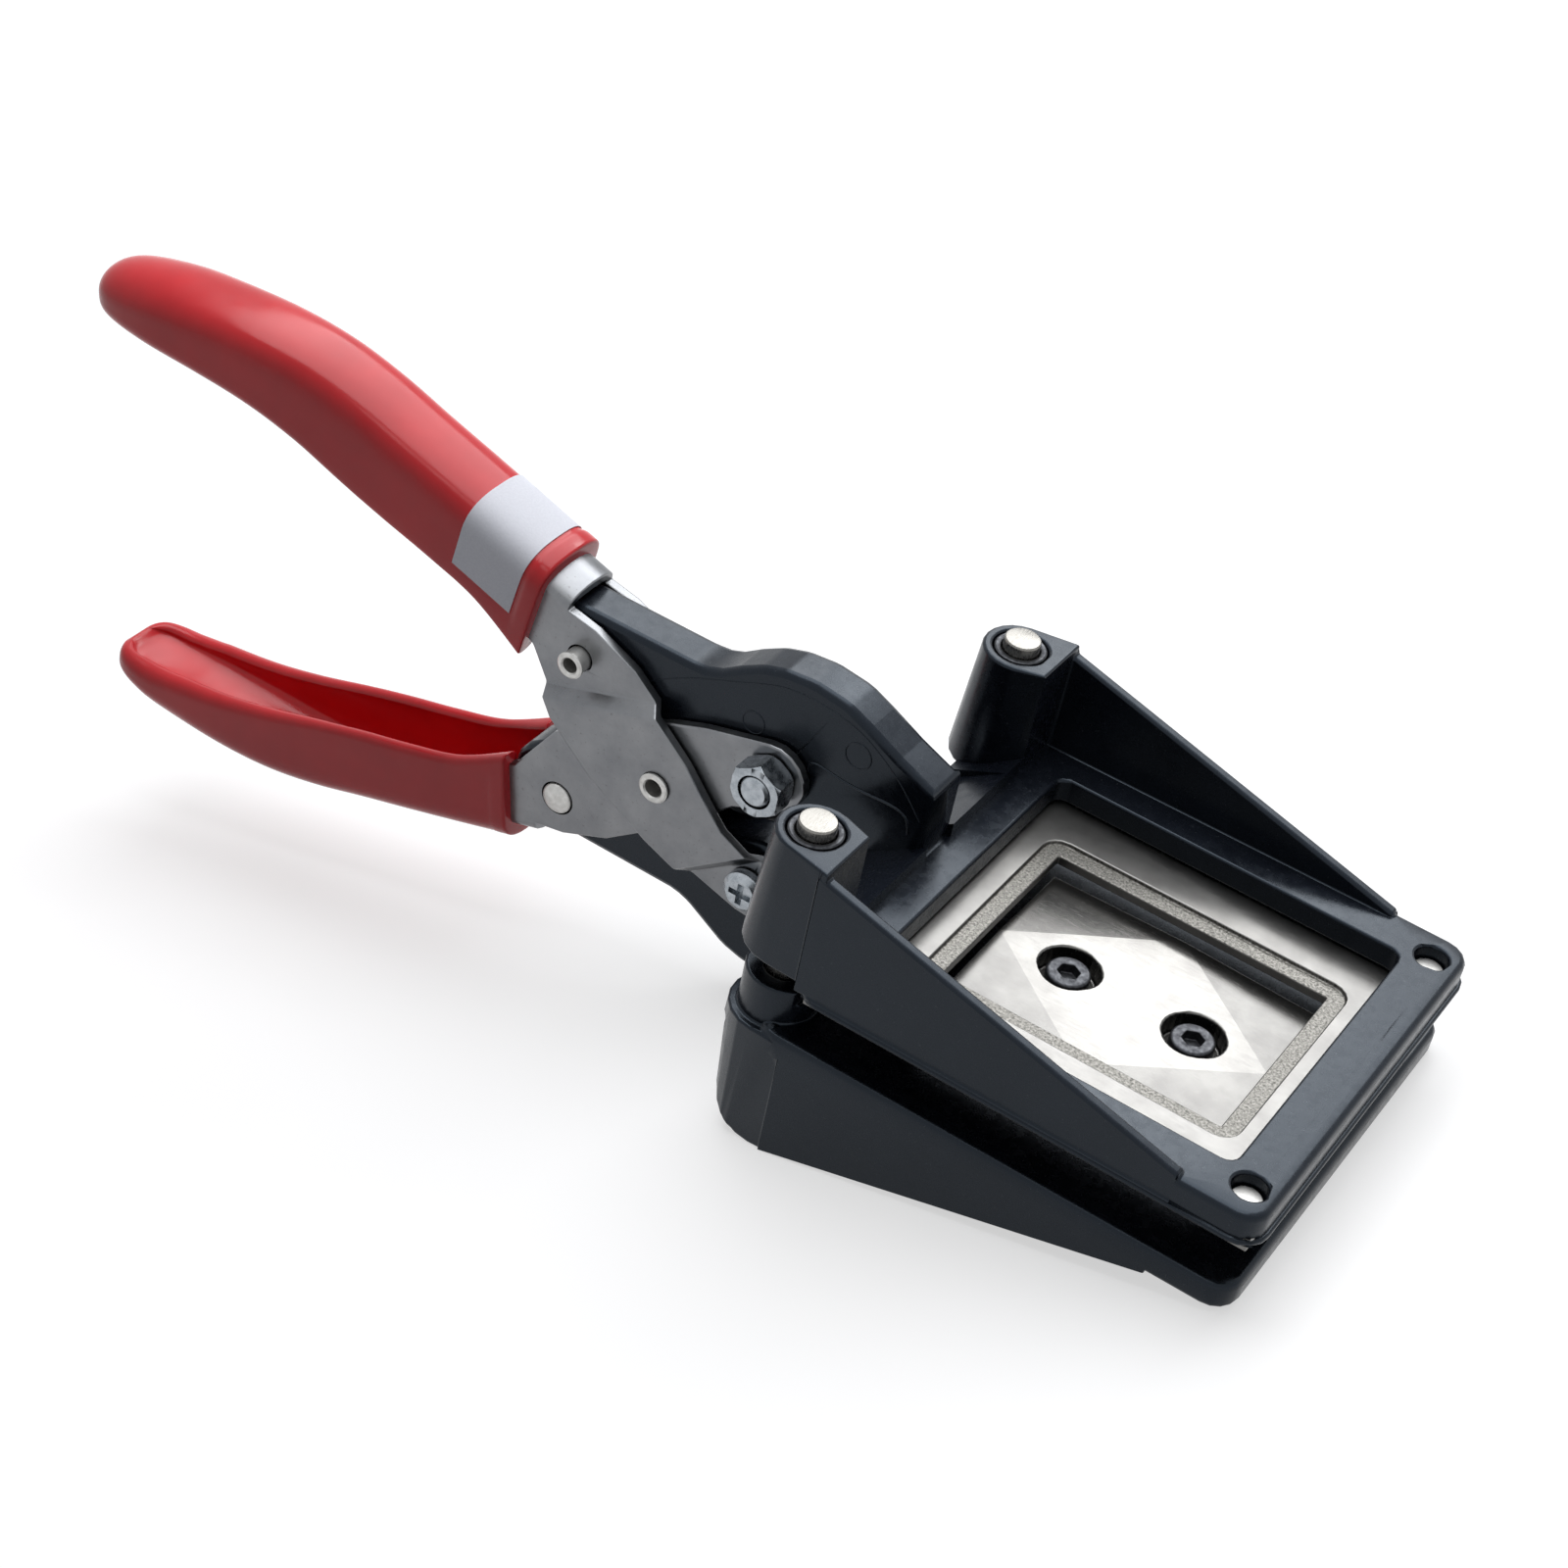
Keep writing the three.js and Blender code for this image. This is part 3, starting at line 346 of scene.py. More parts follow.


# Sloping black sheets between each guide boss and the arm: painted shade, put in to close the
# hollow there so that it shows dark.
shade_web_front, shade_web_rear, shade_web_top = -34.7, -44.2, 7.5
shade_web_parts = (("shade_web", 3.7, 19.8, 1.2, 0.3), ("shade_web_outer", 19.8, 27.5, 3, 2.35))
for side, across_y in (("left", 1), ("right", -1)):
    for part, inner, outer, rear_top, under in shade_web_parts:
        top = [(shade_web_front, inner), (shade_web_front, outer), (shade_web_rear, outer), (shade_web_rear, inner)]
        tops = (shade_web_top, shade_web_top, rear_top, rear_top)
        points = [(x, y * across_y, z) for (x, y), z in zip(top, tops)]
        points += [(x, y * across_y, under) for x, y in top]
        sides = [(i, (i + 1) % 4, 4 + (i + 1) % 4, 4 + i) for i in range(4)]
        shade_sheet(f"upper_jaw_{part}_{side}", points, [(0, 1, 2, 3), (4, 5, 6, 7), *sides])


def strand(name, route, radius, fine, closed=False):
    """A round strand along a route of places, as a curve."""
    line = bpy.data.curves.new(name, "CURVE")
    line.dimensions = "3D"
    line.bevel_depth = radius / 1000
    line.bevel_resolution = fine
    run = line.splines.new("NURBS")
    run.points.add(len(route) - 1)
    run.order_u = 3
    run.use_endpoint_u = not closed
    run.use_cyclic_u = closed
    for point, place in zip(run.points, route):
        point.co = (*(drawing @ Vector(place)), 1)
    return line


def mould_line(name, route, radius, closed=False):
    """A fine raised line that the mould leaves on the upper casting, along a route of places."""
    line = strand(name, route, radius, 2, closed)
    line.materials.append(enamel)
    piece = placed(name, line)
    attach(piece, "upper_jaw")


parting = [(-97, 3.4), (-92, 5.8), (-87.9, 8), (-83, 11.6), (-78.5, 14.5), (-74, 16.6)]
parting += [(-70, 18.3), (-66, 20.2), (-62.5, 21.6), (-58, 22.2), (-53, 21.8), (-49, 20.8)]
parting += [(-45.6, 19), (-42, 16.4), (-39.5, 14), (-37, 11)]
ledge = [(-55.8, 9.6), (-56.1, 11), (-55, 11.7), (-52.5, 11.4), (-50, 11), (-46, 11.1)]
ledge += [(-42.3, 11.4), (-39.8, 11.1), (-38.6, 9.9), (-38.3, 8)]
ejector_marks = ((-48.6, 16.6, 2.2), (-66.1, 13, 1.9))
for side, y in (("left", arm_half), ("right", -arm_half)):
    mould_line(f"arm_parting_line_{side}", [(x, y, z) for x, z in parting], 0.09)
    mould_line(f"arm_ledge_{side}", [(x, y, z) for x, z in ledge], 0.22)
    for number, (x, z, radius) in enumerate(ejector_marks):
        circle = [math.radians(22.5 * i) for i in range(16)]
        ring = [(x + radius * math.cos(a), y, z + radius * math.sin(a)) for a in circle]
        mould_line(f"arm_ejector_mark_{side}_{number}", ring, 0.11, True)


# The die and the punch. Both are ground tool steel: the die plate is screwed up into the upper
# jaw, with a milled land round its window, and the punch block stands on the lower jaw.
ground = finish("ground_steel", Metallic=1, Anisotropic=0.35)
place = in_drawing(ground)
streaks = grain(ground, in_drawing(ground, (0.25, 9, 1)), 1.6, 3)
steel = tinted(ground, grain(ground, place, 0.16), (0.125, 0.122, 0.118), (0.16, 0.157, 0.151))
onto(ground, "Base Color", steel)
onto(ground, "Roughness", between(ground, streaks, 0.3, 0.7, 0.2, 0.28))
raised(ground, [(streaks, 0.003, 0.35), (grain(ground, place, 7, 2), 0.002, 0.25)])

plate = finish("die_steel", Metallic=1, Anisotropic=0.2)
place = in_drawing(plate)
streaks = grain(plate, in_drawing(plate, (0.3, 6, 1)), 1.4, 3)
steel = tinted(plate, grain(plate, place, 0.2), (0.15, 0.147, 0.142), (0.19, 0.187, 0.18))
onto(plate, "Base Color", steel)
onto(plate, "Roughness", between(plate, streaks, 0.3, 0.7, 0.28, 0.4))
raised(plate, [(streaks, 0.006, 0.4), (grain(plate, place, 5, 2), 0.004, 0.3)])

land = finish("milled_land", Metallic=1)
place = in_drawing(land)
chatter = grain(land, place, 2.6, 4, 0.7)
scraped = tinted(land, chatter, (0.06, 0.058, 0.053), (0.2, 0.194, 0.18), 0.36, 0.62)
onto(land, "Base Color", scraped)
onto(land, "Roughness", between(land, chatter, 0.3, 0.7, 0.52, 0.38))
raised(land, [(chatter, 0.07, 0.6)])

die = fitted(
    "die_plate_ground",
    eased(cast("die_plate"), evenly(0.25)),
    plate,
    "upper_jaw",
    ["die_plate"],
)
land_reach_x, land_reach_y, land_from, land_to = 25.5, 20.5, -0.1, 0.62
die.data.materials.append(land)
for face in die.data.polygons:
    middle = drawing.inverted() @ face.center
    over_land = abs(middle.x) < land_reach_x and abs(middle.y) < land_reach_y
    if over_land and land_from < middle.z < land_to:
        face.material_index = 1

block = cast("punch_block")
punch_x, punch_y, punch_top, fall = 22.2, 17.2, -3.06, 0.045
punch_screw_x, punch_hole_reach = 10.3, 5.5
up = lean.to_3x3() @ Vector((0, 0, 1))
for corner_x, corner_y in ((1, 1), (-1, 1), (-1, -1), (1, -1)):
    slant = Vector((corner_x / punch_x, corner_y / punch_y, 0))
    bmesh.ops.bisect_plane(
        block,
        geom=[*block.verts, *block.edges, *block.faces],
        dist=0.0000001,
        plane_co=drawing @ Vector((corner_x * punch_x, 0, 0)),
        plane_no=lean.to_3x3() @ slant,
    )
slant_length = math.hypot(1 / punch_x, 1 / punch_y)
for vertex in block.verts:
    place = drawing.inverted() @ vertex.co
    beyond = (abs(place.x) / punch_x + abs(place.y) / punch_y - 1) / slant_length
    if place.z > punch_top - 0.1 and beyond > 0:
        vertex.co -= up * beyond * fall / 1000


def punch_round(place):
    """The rims of the two screw holes are broken a little more than the cutting edges."""
    by_a_hole = math.hypot(abs(place.x) - punch_screw_x, place.y) < punch_hole_reach
    return 0.35 if by_a_hole else 0.12


fitted(
    "punch_block_ground",
    eased(block, punch_round, crease=1),
    ground,
    "lower_jaw",
    ["punch_block"],
)


# The screws that hold the die and the punch: black oxide socket heads sunk in the punch, and
# bright countersunk screws whose ends show in two corners of the frame.
oxide = finish("black_oxide", Metallic=0.85)
place = in_drawing(oxide)
rub = grain(oxide, place, 1.4, 4)
onto(oxide, "Base Color", tinted(oxide, rub, (0.022, 0.023, 0.027), (0.075, 0.078, 0.085)))
onto(oxide, "Roughness", between(oxide, rub, 0.3, 0.7, 0.5, 0.34))
raised(oxide, [(grain(oxide, place, 6, 3), 0.01, 0.4)])

bright = finish("bright_steel", Metallic=1)
place = in_drawing(bright)
wear = grain(bright, place, 1.1, 4)
onto(bright, "Base Color", tinted(bright, wear, (0.42, 0.415, 0.4), (0.55, 0.545, 0.53)))
onto(bright, "Roughness", between(bright, wear, 0.3, 0.7, 0.5, 0.38))
raised(bright, [(grain(bright, place, 8, 2), 0.004, 0.4)])

for end in ("front", "rear"):
    fitted(
        f"punch_screw_{end}_socket",
        eased(cast(f"punch_screw_{end}"), evenly(0.18)),
        oxide,
        "lower_jaw",
        [f"punch_screw_{end}"],
    )
    for side in ("left", "right"):
        fitted(
            f"die_screw_{end}_{side}_bright",
            eased(cast(f"die_screw_{end}_{side}"), evenly(0.15)),
            bright,
            "upper_jaw",
            [f"die_screw_{end}_{side}"],
        )


# The guide pins and their bushes. The pins are turned from bright steel, pressed up from the
# lower jaw, and slide in thin bushes in the upper jaw's bosses.
guide_x, guide_y = -41.2, 29.05
turn_steps, seam_within = 72, 0.0000005


def turned(profile, base, along):
    """A piece turned on a lathe: its profile as radius and distance from a base, along y or z."""
    mesh = bmesh.new()
    rings = []
    for radius, reach in profile:
        ring = []
        for i in range(turn_steps):
            angle = 2 * math.pi * i / turn_steps
            first, second = radius * math.cos(angle), radius * math.sin(angle)
            offset = (first, second, reach) if along == "z" else (second, reach, first)
            ring.append(mesh.verts.new(drawing @ (Vector(base) + Vector(offset))))
        rings.append(ring)
    for lower, upper in zip(rings, rings[1:]):
        for i in range(turn_steps):
            j = (i + 1) % turn_steps
            mesh.faces.new((lower[i], lower[j], upper[j], upper[i]))
    if profile[0] == profile[-1]:
        bmesh.ops.remove_doubles(mesh, verts=mesh.verts, dist=seam_within)
    else:
        mesh.faces.new(list(reversed(rings[0])))
        mesh.faces.new(rings[-1])
    bmesh.ops.recalc_face_normals(mesh, faces=mesh.faces)
    return closed(mesh, "turned")


pin_steel = finish("turned_pin", Metallic=1)
brush = grain(pin_steel, in_drawing(pin_steel, (6, 1, 1)), 1.2, 3)
onto(pin_steel, "Base Color", tinted(pin_steel, brush, (0.17, 0.163, 0.15), (0.26, 0.252, 0.235)))
onto(pin_steel, "Roughness", between(pin_steel, brush, 0.3, 0.7, 0.22, 0.38))
raised(pin_steel, [(brush, 0.02, 0.5)])

pin_radius, pin_press = 2.82, 1.2
pin_end = [(pin_radius, 24.0), (2.77, 24.2), (2.62, 24.35), (2.4, 24.4)]
bush_profile = [(3.02, 2.7), (3.02, 22.25), (3.12, 22.55), (3.3, 22.66), (3.78, 22.66)]
bush_profile += [(4.0, 22.5), (4.0, 2.7), bush_profile[0]]
for side, y in (("left", guide_y), ("right", -guide_y)):
    foot = (drawing.inverted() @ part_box(f"guide_pin_{side}")[0]).z
    fitted(
        f"guide_pin_{side}_turned",
        turned([(pin_radius, foot + pin_press), *pin_end], (guide_x, y, 0), "z"),
        pin_steel,
        "lower_jaw",
        [f"guide_pin_{side}"],
    )
    fitted(
        f"guide_bush_{side}_turned",
        turned(bush_profile, (guide_x, y, 0), "z"),
        oxide,
        "upper_jaw",
        [f"guide_bush_{side}"],
    )


# The handles. Each is one blank of 1.8 mm steel sheet, pressed to a channel inside its grip and
# to two flat cheeks at the linkage; the upper one's cheeks step outwards over the lower one's.
# They are bare steel with rolling marks and a film of oil.
sheet = finish("pressed_sheet", Metallic=1)
place = in_drawing(sheet)
rolled = grain(sheet, in_drawing(sheet, (1.2, 1, 7)), 1.1, 4)
stain = grain(sheet, place, 0.13, 5, 0.65)
fleck = between(sheet, grain(sheet, place, 1.9, 3), 0.64, 0.72, 0, 0.6)
grey = tinted(sheet, stain, (0.15, 0.155, 0.165), (0.215, 0.22, 0.228))
onto(sheet, "Base Color", mixed(sheet, fleck, grey, (0.1, 0.098, 0.095)))
onto(sheet, "Roughness", between(sheet, stain, 0.3, 0.7, 0.26, 0.38))
raised(sheet, [(rolled, 0.01, 0.4), (grain(sheet, place, 5, 3), 0.006, 0.4)])

hidden_from = -106.5


def sheet_round(place):
    """The rims of the bores stay sharp, and every other edge of the sheet is a little round."""
    return 0 if by_a_bore(place) else 0.3


for lever in ("upper", "lower"):
    blank = cast(f"{lever}_handle")
    bmesh.ops.bisect_plane(
        blank,
        geom=[*blank.verts, *blank.edges, *blank.faces],
        plane_co=drawing @ Vector((hidden_from, 0, 0)),
        plane_no=lean.to_3x3() @ Vector((-1, 0, 0)),
        clear_outer=True,
    )
    fitted(
        f"{lever}_handle_pressed",
        eased(blank, sheet_round, sharp=30),
        sheet,
        f"{lever}_lever",
        [f"{lever}_handle"],
    )


# The rivets of the linkage: hollow ones where the handles cross and at the upper arm's tail,
# with their ends rolled over, and a solid one with a low dome at the lower arm's tail.
def hollow_rivet(radius, bore, half):
    """The profile of a tube rivet whose ends are rolled outwards."""
    end = [(bore + 0.25, half), (bore + 0.05, half - 0.25), (bore, half - 0.7)]
    roll = radius + 0.22
    lip = [(radius, half - 0.75), (roll, half - 0.5), (roll, half - 0.2), (radius - 0.05, half)]
    outside = [(r, -s) for r, s in reversed(lip)] + lip
    inside = end + [(r, -s) for r, s in reversed(end)]
    return outside + inside + outside[:1]


rivet_half = 8.7
fitted(
    "center_rivet_rolled",
    turned(hollow_rivet(2.3, 1.45, rivet_half), (crossing_x, 0, linkage_z), "y"),
    bright,
    "upper_lever",
    ["center_rivet"],
)
fitted(
    "upper_tail_rivet_rolled",
    turned(hollow_rivet(2, 1.2, rivet_half), (tail_x, 0, upper_tail_z), "y"),
    bright,
    "upper_lever",
    ["upper_tail_rivet"],
)
dome_radius, dome_foot, dome_height = 2.6, 5.92, 0.88
sweep = [math.radians(d) for d in range(90, 2, -8)]
dome = [(dome_radius * math.sin(a), dome_foot + dome_height * math.cos(a)) for a in sweep]
fitted(
    "lower_tail_rivet_domed",
    turned([(r, -s) for r, s in reversed(dome)] + dome, (tail_x, 0, lower_tail_z), "y"),
    bright,
    "lower_lever",
    ["lower_tail_rivet"],
)


# The jaw pivots: a hexagon bolt and nut through the upper arm, and a cross-recess screw with a
# nut through the lower arm, all zinc plated.
zinc = finish("zinc_plate", Metallic=1)
place = in_drawing(zinc)
bloom = grain(zinc, place, 0.9, 4)
onto(zinc, "Base Color", tinted(zinc, bloom, (0.26, 0.285, 0.31), (0.42, 0.45, 0.48)))
onto(zinc, "Roughness", between(zinc, bloom, 0.3, 0.7, 0.22, 0.34))
raised(zinc, [(grain(zinc, place, 4, 3), 0.012, 0.4)])

for name, body in (
    ("upper_pivot_bolt", "lower_lever"),
    ("upper_pivot_nut", "lower_lever"),
    ("lower_pivot_screw", "upper_lever"),
    ("lower_pivot_nut", "upper_lever"),
):
    plated = eased(cast(name), evenly(0.07))
    fitted(f"{name}_plated", plated, zinc, body, [name])


# The return spring, wound from 1.2 mm spring wire round the middle rivet, with a short leg
# towards the tail of each arm. It hides between the cheeks.
spring_wire = finish("spring_wire", Metallic=1, Roughness=0.3)
place = in_drawing(spring_wire)
drawn = tinted(spring_wire, grain(spring_wire, place, 1.5), (0.3, 0.29, 0.27), (0.5, 0.49, 0.46))
onto(spring_wire, "Base Color", drawn)
raised(spring_wire, [(grain(spring_wire, place, 5), 0.01, 0.4)])

wire_radius, coil_radius, coil_pitch, coil_turns, leg, rise = 0.6, 3.3, 1.75, 3.5, 14, 3.6
coil_steps = 16
half_coil = coil_pitch * coil_turns / 2
leg_end, leg_middle, half_rise = crossing_x - leg, crossing_x - leg / 2, (rise + coil_radius) / 2
route = [(leg_end, half_coil, linkage_z + rise), (leg_middle, half_coil, linkage_z + half_rise)]
for step in range(int(coil_steps * coil_turns) + 1):
    angle = math.pi / 2 - 2 * math.pi * step / coil_steps
    y = half_coil - coil_pitch * step / coil_steps
    x, z = crossing_x + coil_radius * math.cos(angle), linkage_z + coil_radius * math.sin(angle)
    route.append((x, y, z))
route += [(leg_middle, -half_coil, linkage_z - half_rise), (leg_end, -half_coil, linkage_z - rise)]
wire = strand("return_spring_wound", route, wire_radius, 3)
wire.use_fill_caps = True
spring = fitted(
    "return_spring_wound",
    shown(placed("wound", wire)),
    spring_wire,
    "upper_lever",
    ["return_spring"],
    sharp=60,
)
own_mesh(spring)


# The grips. The handles are dipped in red vinyl, which runs to a smooth skin: a round crown, an
# open trough with soft lips, a shallow spoon over the steel's end and a blunt tip. A bead stands
# up round the front, where the dip stopped.
# Each row is a station: how far along and up the grip its crown is, the same for its rim, and
# how wide it is, all as shares of the whole.
crown_and_rim = [
    (0, 0.65, 0.032, 0.229, 1),
    (0.104, 0.727, 0.128, 0.367, 1),
    (0.203, 0.798, 0.224, 0.441, 1),
    (0.306, 0.869, 0.32, 0.502, 1),
    (0.404, 0.938, 0.415, 0.569, 1.01),
    (0.505, 0.985, 0.512, 0.643, 1.03),
    (0.611, 1, 0.611, 0.7, 1.05),
    (0.718, 0.995, 0.718, 0.734, 1.06),
    (0.824, 0.98, 0.818, 0.751, 1.05),
    (0.909, 0.948, 0.898, 0.756, 0.98),
    (0.967, 0.918, 0.957, 0.752, 0.93),
    (0.995, 0.885, 0.989, 0.757, 0.85),
]
grip_front, grip_length, grip_rise, grip_half = -102.4, 94.2, 40.6, 7.6
tip_bend, tip_start, last_station = 0.718, 8.6, len(crown_and_rim) - 1


def smooth(value, low=0.0, high=1.0):
    """A soft step from 0 to 1 as a value goes from low to high."""
    share = min(max((value - low) / (high - low), 0), 1)
    return share * share * (3 - 2 * share)


def through(a, b, c, d, t):
    """A value between b, at t = 0, and c, at t = 1, on a smooth curve through all four."""
    bend = 2 * a - 5 * b + 4 * c - d + t * (3 * (b - c) + d - a)
    return b + 0.5 * t * (c - a + t * bend)


def station(number, tip, depth_share, tip_fall):
    """Where a section of the upper grip is: its crown, the way from there to its rim, its depth
    and its half width. Its tip keeps a share of its length, and is deeper by its fall."""
    base = min(int(number), last_station - 1)
    ends = [crown_and_rim[min(max(base + i, 0), last_station)] for i in (-1, 0, 1, 2)]
    values = [through(*four, number - base) for four in zip(*ends)]
    back = [v - max(v - tip_bend, 0) * (1 - tip) for v in (values[0], values[2])]
    along = [grip_front - share * grip_length for share in back]
    crown = Vector((along[0], linkage_z + values[1] * grip_rise))
    rim = Vector((along[1], linkage_z + values[3] * grip_rise))
    depth = (rim - crown).length * depth_share + tip_fall * smooth(number, 4.5, 8.5)
    return crown, (rim - crown).normalized(), depth, values[4] * grip_half


def squared(angle, number=0):
    """A place on a quarter round, flatter on top than a true circle but round at the tip."""
    power = 0.74 + 0.26 * smooth(number, 5.5, tip_start)
    return max(math.cos(angle), 0) ** power, math.sin(angle) ** power


arch_height, arch_share, arch_steps = 5.2, 0.55, 12
side_steps, bead_full, bead_gone = 5, 9, 15
lip_round, lip_share, lip_steps, rim_round, rim_left = 1.3, 0.3, 6, 1.05, 0.02
trough_wall, trough_floor, filled_from, filled_to = 1.25, 4.7, 9.2, 10.4
mouth_half, mouth_from, mouth_to = 4.1, 0.1, 0.9
spoon_end, spoon_length, spoon_bend, spoon_wall = 9.8, 6.2, 1.25, 1.7
quarter = math.pi / 2


def section(number, dip, proud=0, shrink=1.0):
    """The skin of a grip at one section, as places across it and down from its crown."""
    crown, down_ward, depth, half = station(number, **dip)
    arch = min(arch_height, depth * arch_share)
    spoon = 1 - min(max((spoon_end - number) / spoon_length, 0), 1) ** spoon_bend
    filled = smooth(number, filled_from, filled_to)
    lip = min(lip_round * (1 + spoon), depth * lip_share)
    inner = rim_round * (1 - filled) + rim_left
    wide = (half - lip - trough_wall) * (1 - 0.3 * filled)
    wide += (mouth_half - wide) * (1 - smooth(number, mouth_from, mouth_to))
    floor = trough_floor + (depth - spoon_wall - trough_floor) * spoon
    floor += (depth - inner - floor) * filled
    square = 0.45 + 0.3 * spoon
    side = []
    for i in range(arch_steps + 1):
        y, s = squared(quarter * (1 - i / arch_steps), number)
        side.append((half * y, arch * (1 - s), proud))
    for i in range(1, side_steps):
        s = arch + (depth - lip - arch) * i / side_steps
        side.append((half, s, proud * (1 - smooth(s, bead_full, bead_gone))))
    for angle in (quarter * i / lip_steps for i in range(lip_steps + 1)):
        y, s = half - lip + lip * math.cos(angle), depth - lip + lip * math.sin(angle)
        side.append((y, s, 0))
    for angle in (quarter * i / lip_steps for i in range(lip_steps + 1)):
        y = wide + (half - lip - wide) * (1 - math.sin(angle))
        side.append((y, depth - inner * (1 - math.cos(angle)), 0))
    for i in range(1, arch_steps + 1):
        angle = quarter * i / arch_steps
        y, s = math.cos(angle) ** square if i < arch_steps else 0, math.sin(angle) ** square
        side.append((wide * y, depth - inner - (depth - inner - floor) * s, 0))
    ring = []
    for y, s, stand in side:
        out = Vector((y, s - arch)).normalized() if s < arch else Vector((1, 0))
        ring.append((y + out.x * stand, s + out.y * stand))
    whole = ring + [(-y, s) for y, s in reversed(ring[1:-1])]
    middle = depth / 2
    places = []
    for y, s in whole:
        at = crown + down_ward * (middle + (s - middle) * shrink**0.8)
        places.append(Vector((at.x, y * shrink, at.y)))
    return places


def dipped(dip, bead, flip):
    """The whole skin of a grip, from its bead to its tip, drawn for the upper side or flipped."""
    # Each ring is a station, the share of the bead that stands there, and a share of full size.
    front = [(0, 0.3, 0.955), (0.012, 0.7, 0.985), (0.035, 0.95, 1), (0.09, 1, 1), (0.2, 1, 1)]
    front += [(0.28, 0.95, 1), (0.32, 0.75, 1), (0.35, 0.4, 1), (0.38, 0.08, 1), (0.42, 0, 1)]
    plain = [(0.5 + 0.12 * i, 0, 1) for i in range(67)]
    turns = [math.radians(5 * i) for i in range(1, 18)]
    tip_length = last_station - tip_start
    end = [(tip_start + tip_length * math.sin(a), 0, math.cos(a)) for a in turns]
    rings = [section(n, dip, proud * bead, shrink) for n, proud, shrink in front + plain + end]
    mesh = bmesh.new()
    made = []
    for ring in rings:
        places = [Vector((p.x, p.y, 2 * linkage_z - p.z)) if flip else p for p in ring]
        made.append([mesh.verts.new(drawing @ p) for p in places])
    count = len(made[0])
    for a, b in zip(made, made[1:]):
        for i in range(count):
            j = (i + 1) % count
            mesh.faces.new((a[i], a[j], b[j], b[i]))
    mesh.faces.new(made[0])
    mesh.faces.new(made[-1])
    bmesh.ops.recalc_face_normals(mesh, faces=mesh.faces)
    return closed(mesh, "dipped")


vinyl = finish(
    "red_vinyl",
    Specular_IOR_Level=0.26,
    Coat_Weight=0.03,
    Coat_Roughness=0.06,
    Subsurface_Weight=0.03,
    Subsurface_Radius=(0.003, 0.0006, 0.0006),
)
place = in_drawing(vinyl)
blush = grain(vinyl, place, 0.07, 3)
onto(vinyl, "Base Color", tinted(vinyl, blush, (0.5, 0.011, 0.017), (0.61, 0.015, 0.022)))
onto(vinyl, "Roughness", between(vinyl, grain(vinyl, place, 0.4, 4), 0.3, 0.7, 0.15, 0.23))
raised(
    vinyl, [(grain(vinyl, place, 0.14, 2), 0.12, 0.35), (grain(vinyl, place, 2.2, 3), 0.004, 0.3)]
)

upper_dip = {"tip": 0.9, "depth_share": 1, "tip_fall": 1.7}
lower_dip = {"tip": 0.56, "depth_share": 0.95, "tip_fall": -0.8}
for side, dip, bead, flip in (("upper", upper_dip, 0.4, False), ("lower", lower_dip, 0.12, True)):
    fitted(
        f"{side}_grip_dipped",
        dipped(dip, bead, flip),
        vinyl,
        f"{side}_lever",
        [f"{side}_grip"],
        sharp=60,
    )


# The size label, a strip of white paper stuck over the crown of the upper grip and down its right
# side. It is left bare.
paper = finish("label_paper", Specular_IOR_Level=0.35, Roughness=0.55)
place = in_drawing(paper)
fibre = grain(paper, place, 3, 5, 0.7)
onto(paper, "Base Color", tinted(paper, fibre, (0.62, 0.63, 0.69), (0.7, 0.71, 0.77)))
raised(paper, [(fibre, 0.02, 0.5), (grain(paper, place, 0.25, 2), 0.1, 0.3)])

label_start, label_length, label_drop, label_stand, label_thick = 0.42, 1.12, 11.2, 0.08, 0.12
over_crown, crown_edge, rows_along, steps_across = 0.62, 0.1, 24, 48
mesh = bmesh.new()
rows = []
for i in range(rows_along + 1):
    number = label_start + label_length * i / rows_along
    crown, down_ward, depth, half = station(number, **upper_dip)
    row = []
    for j in range(steps_across + 1):
        share = j / steps_across
        if share < over_crown:
            angle = math.pi * (crown_edge + (1 - crown_edge) * share / over_crown)
            y, s = squared(min(angle, math.pi - angle))
            y, s = math.copysign(half * y, quarter - angle), arch_height * (1 - s)
            out = Vector((y / half, (s - arch_height) / arch_height)).normalized()
        else:
            down_side = (share - over_crown) / (1 - over_crown)
            y, s = -half, arch_height + (label_drop - arch_height) * down_side
            out = Vector((-1, 0))
        for stand in (label_stand, label_stand + label_thick):
            at = crown + down_ward * (s + out.y * stand)
            row.append(mesh.verts.new(drawing @ Vector((at.x, y + out.x * stand, at.y))))
    rows.append(row)
last = 2 * steps_across
for a, b in zip(rows, rows[1:]):
    for j in range(0, last, 2):
        mesh.faces.new((a[j + 1], a[j + 3], b[j + 3], b[j + 1]))
        mesh.faces.new((a[j], b[j], b[j + 2], a[j + 2]))
    mesh.faces.new((a[0], a[1], b[1], b[0]))
    mesh.faces.new((a[last], b[last], b[last + 1], a[last + 1]))
for row in (rows[0], rows[-1]):
    for j in range(0, last, 2):
        mesh.faces.new((row[j], row[j + 1], row[j + 3], row[j + 2]))
bmesh.ops.recalc_face_normals(mesh, faces=mesh.faces)
strip = closed(mesh, "size_label_paper")
fitted("size_label_paper", strip, paper, "upper_lever", ["size_label"])


# The studio: a white table in a white room, a large soft lamp behind and above the tool that
# draws the broad reflections along its crowns and tops, a smaller one whose image lies in the
# punch, and a soft fill from the right. Table and room light the tool less than they show.
def in_sight(material):
    """1 where the eye sees a thing, in a mirror or through glass as well, and 0 in its light."""
    rays = node(material, "LightPath")
    seen = rays.outputs["Is Camera Ray"]
    for kind in ("Is Glossy Ray", "Is Transmission Ray"):
        inputs = {0: seen, 1: rays.outputs[kind]}
        seen = node(material, "Math", inputs, operation="MAXIMUM").outputs[0]
    return seen


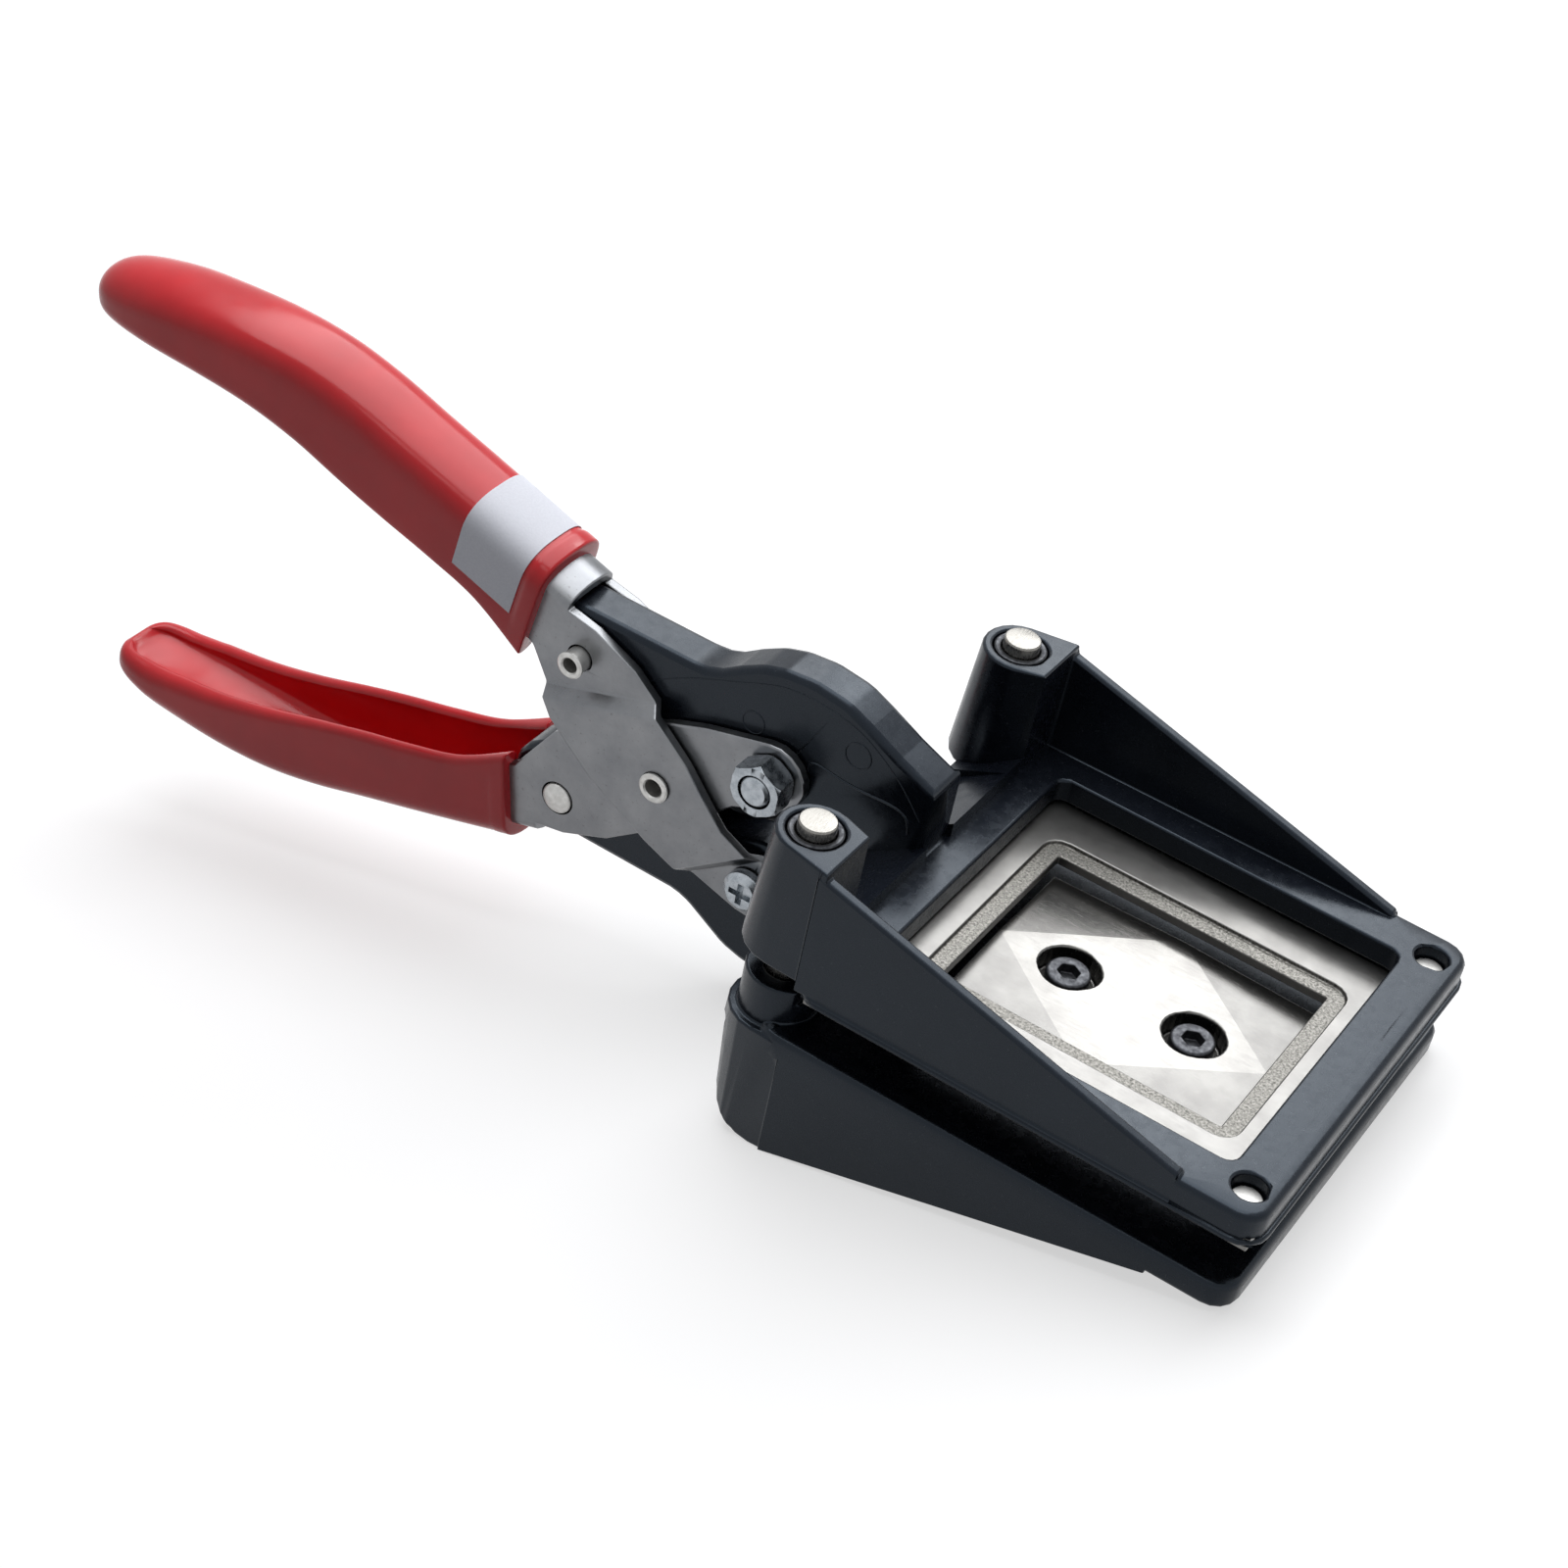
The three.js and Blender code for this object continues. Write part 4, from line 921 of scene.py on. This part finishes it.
near_tool, far_off, near_glow, far_glow = 350, 1600, 0.6, 1
table = finish("table", Roughness=0.9, Specular_IOR_Level=0.1, Emission_Color=(1, 1, 1, 1))
place = in_drawing(table)
white = tinted(table, grain(table, place, 0.01), (0.42, 0.42, 0.425), (0.45, 0.45, 0.455))
onto(table, "Base Color", white)
out_from_tool = node(table, "VectorMath", {0: place}, operation="LENGTH").outputs["Value"]
glow = between(table, out_from_tool, near_tool, far_off, near_glow, far_glow)
lift = node(table, "Math", {0: in_sight(table), 1: glow}, operation="MULTIPLY")
onto(table, "Emission Strength", lift.outputs[0])

mesh = bmesh.new()
bmesh.ops.create_grid(mesh, x_segments=8, y_segments=8, size=12)
table_top = placed("table_top", closed(mesh, "table_top"))
table_top.data.materials.append(table)

world = bpy.data.worlds.new("room")
bpy.context.scene.world = world
world.use_nodes = True
backdrop = world.node_tree.nodes["Background"]
backdrop.inputs["Color"].default_value = (0.97, 0.985, 1, 1)
room_light = 0.08
strength = between(world, in_sight(world), 0, 1, room_light, 1)
world.node_tree.links.new(strength, backdrop.inputs["Strength"])


def panel(name, place, turn, width, height, strength, colour):
    """A flat rectangular lamp, with its brightness as the eye sees it."""
    lamp = bpy.data.lights.new(name, "AREA")
    lamp.shape = "RECTANGLE"
    lamp.size, lamp.size_y = width, height
    lamp.energy = strength * math.pi * width * height
    lamp.color = colour
    stand = placed(name, lamp)
    stand.location = place
    stand.rotation_mode = "QUATERNION"
    stand.rotation_quaternion = turn


lit_point = Vector((0, 0, 0.04))


def softbox(name, azimuth, elevation, distance, **shape):
    """A lamp on a stand, facing the tool."""
    a, e = math.radians(azimuth), math.radians(elevation)
    away = Vector((math.cos(a) * math.cos(e), math.sin(a) * math.cos(e), math.sin(e)))
    panel(name, lit_point + away * distance, away.to_track_quat("Z", "Y"), **shape)


softbox(
    "softbox_above", 91, 65, 1.3, width=1.2, height=1.8, strength=4, colour=(0.975, 0.985, 1)
)
softbox(
    "softbox_right", -60, 66, 1.5, width=0.3, height=0.25, strength=2.5, colour=(1, 0.99, 0.97)
)

punch_level = drawing @ Vector((0, 0, punch_top))
seen_from = drawing @ eye - punch_level
bounced = 2 * seen_from.dot(up) * up - seen_from
reach, overlap = 0.35, 1.02
spread = overlap * (reach / seen_from.length + 1) / 1000
panel(
    "reflector",
    punch_level + bounced.normalized() * reach,
    lean.to_quaternion(),
    width=2 * punch_x * spread,
    height=2 * punch_y * spread,
    strength=7.5,
    colour=(1, 0.995, 0.98),
)
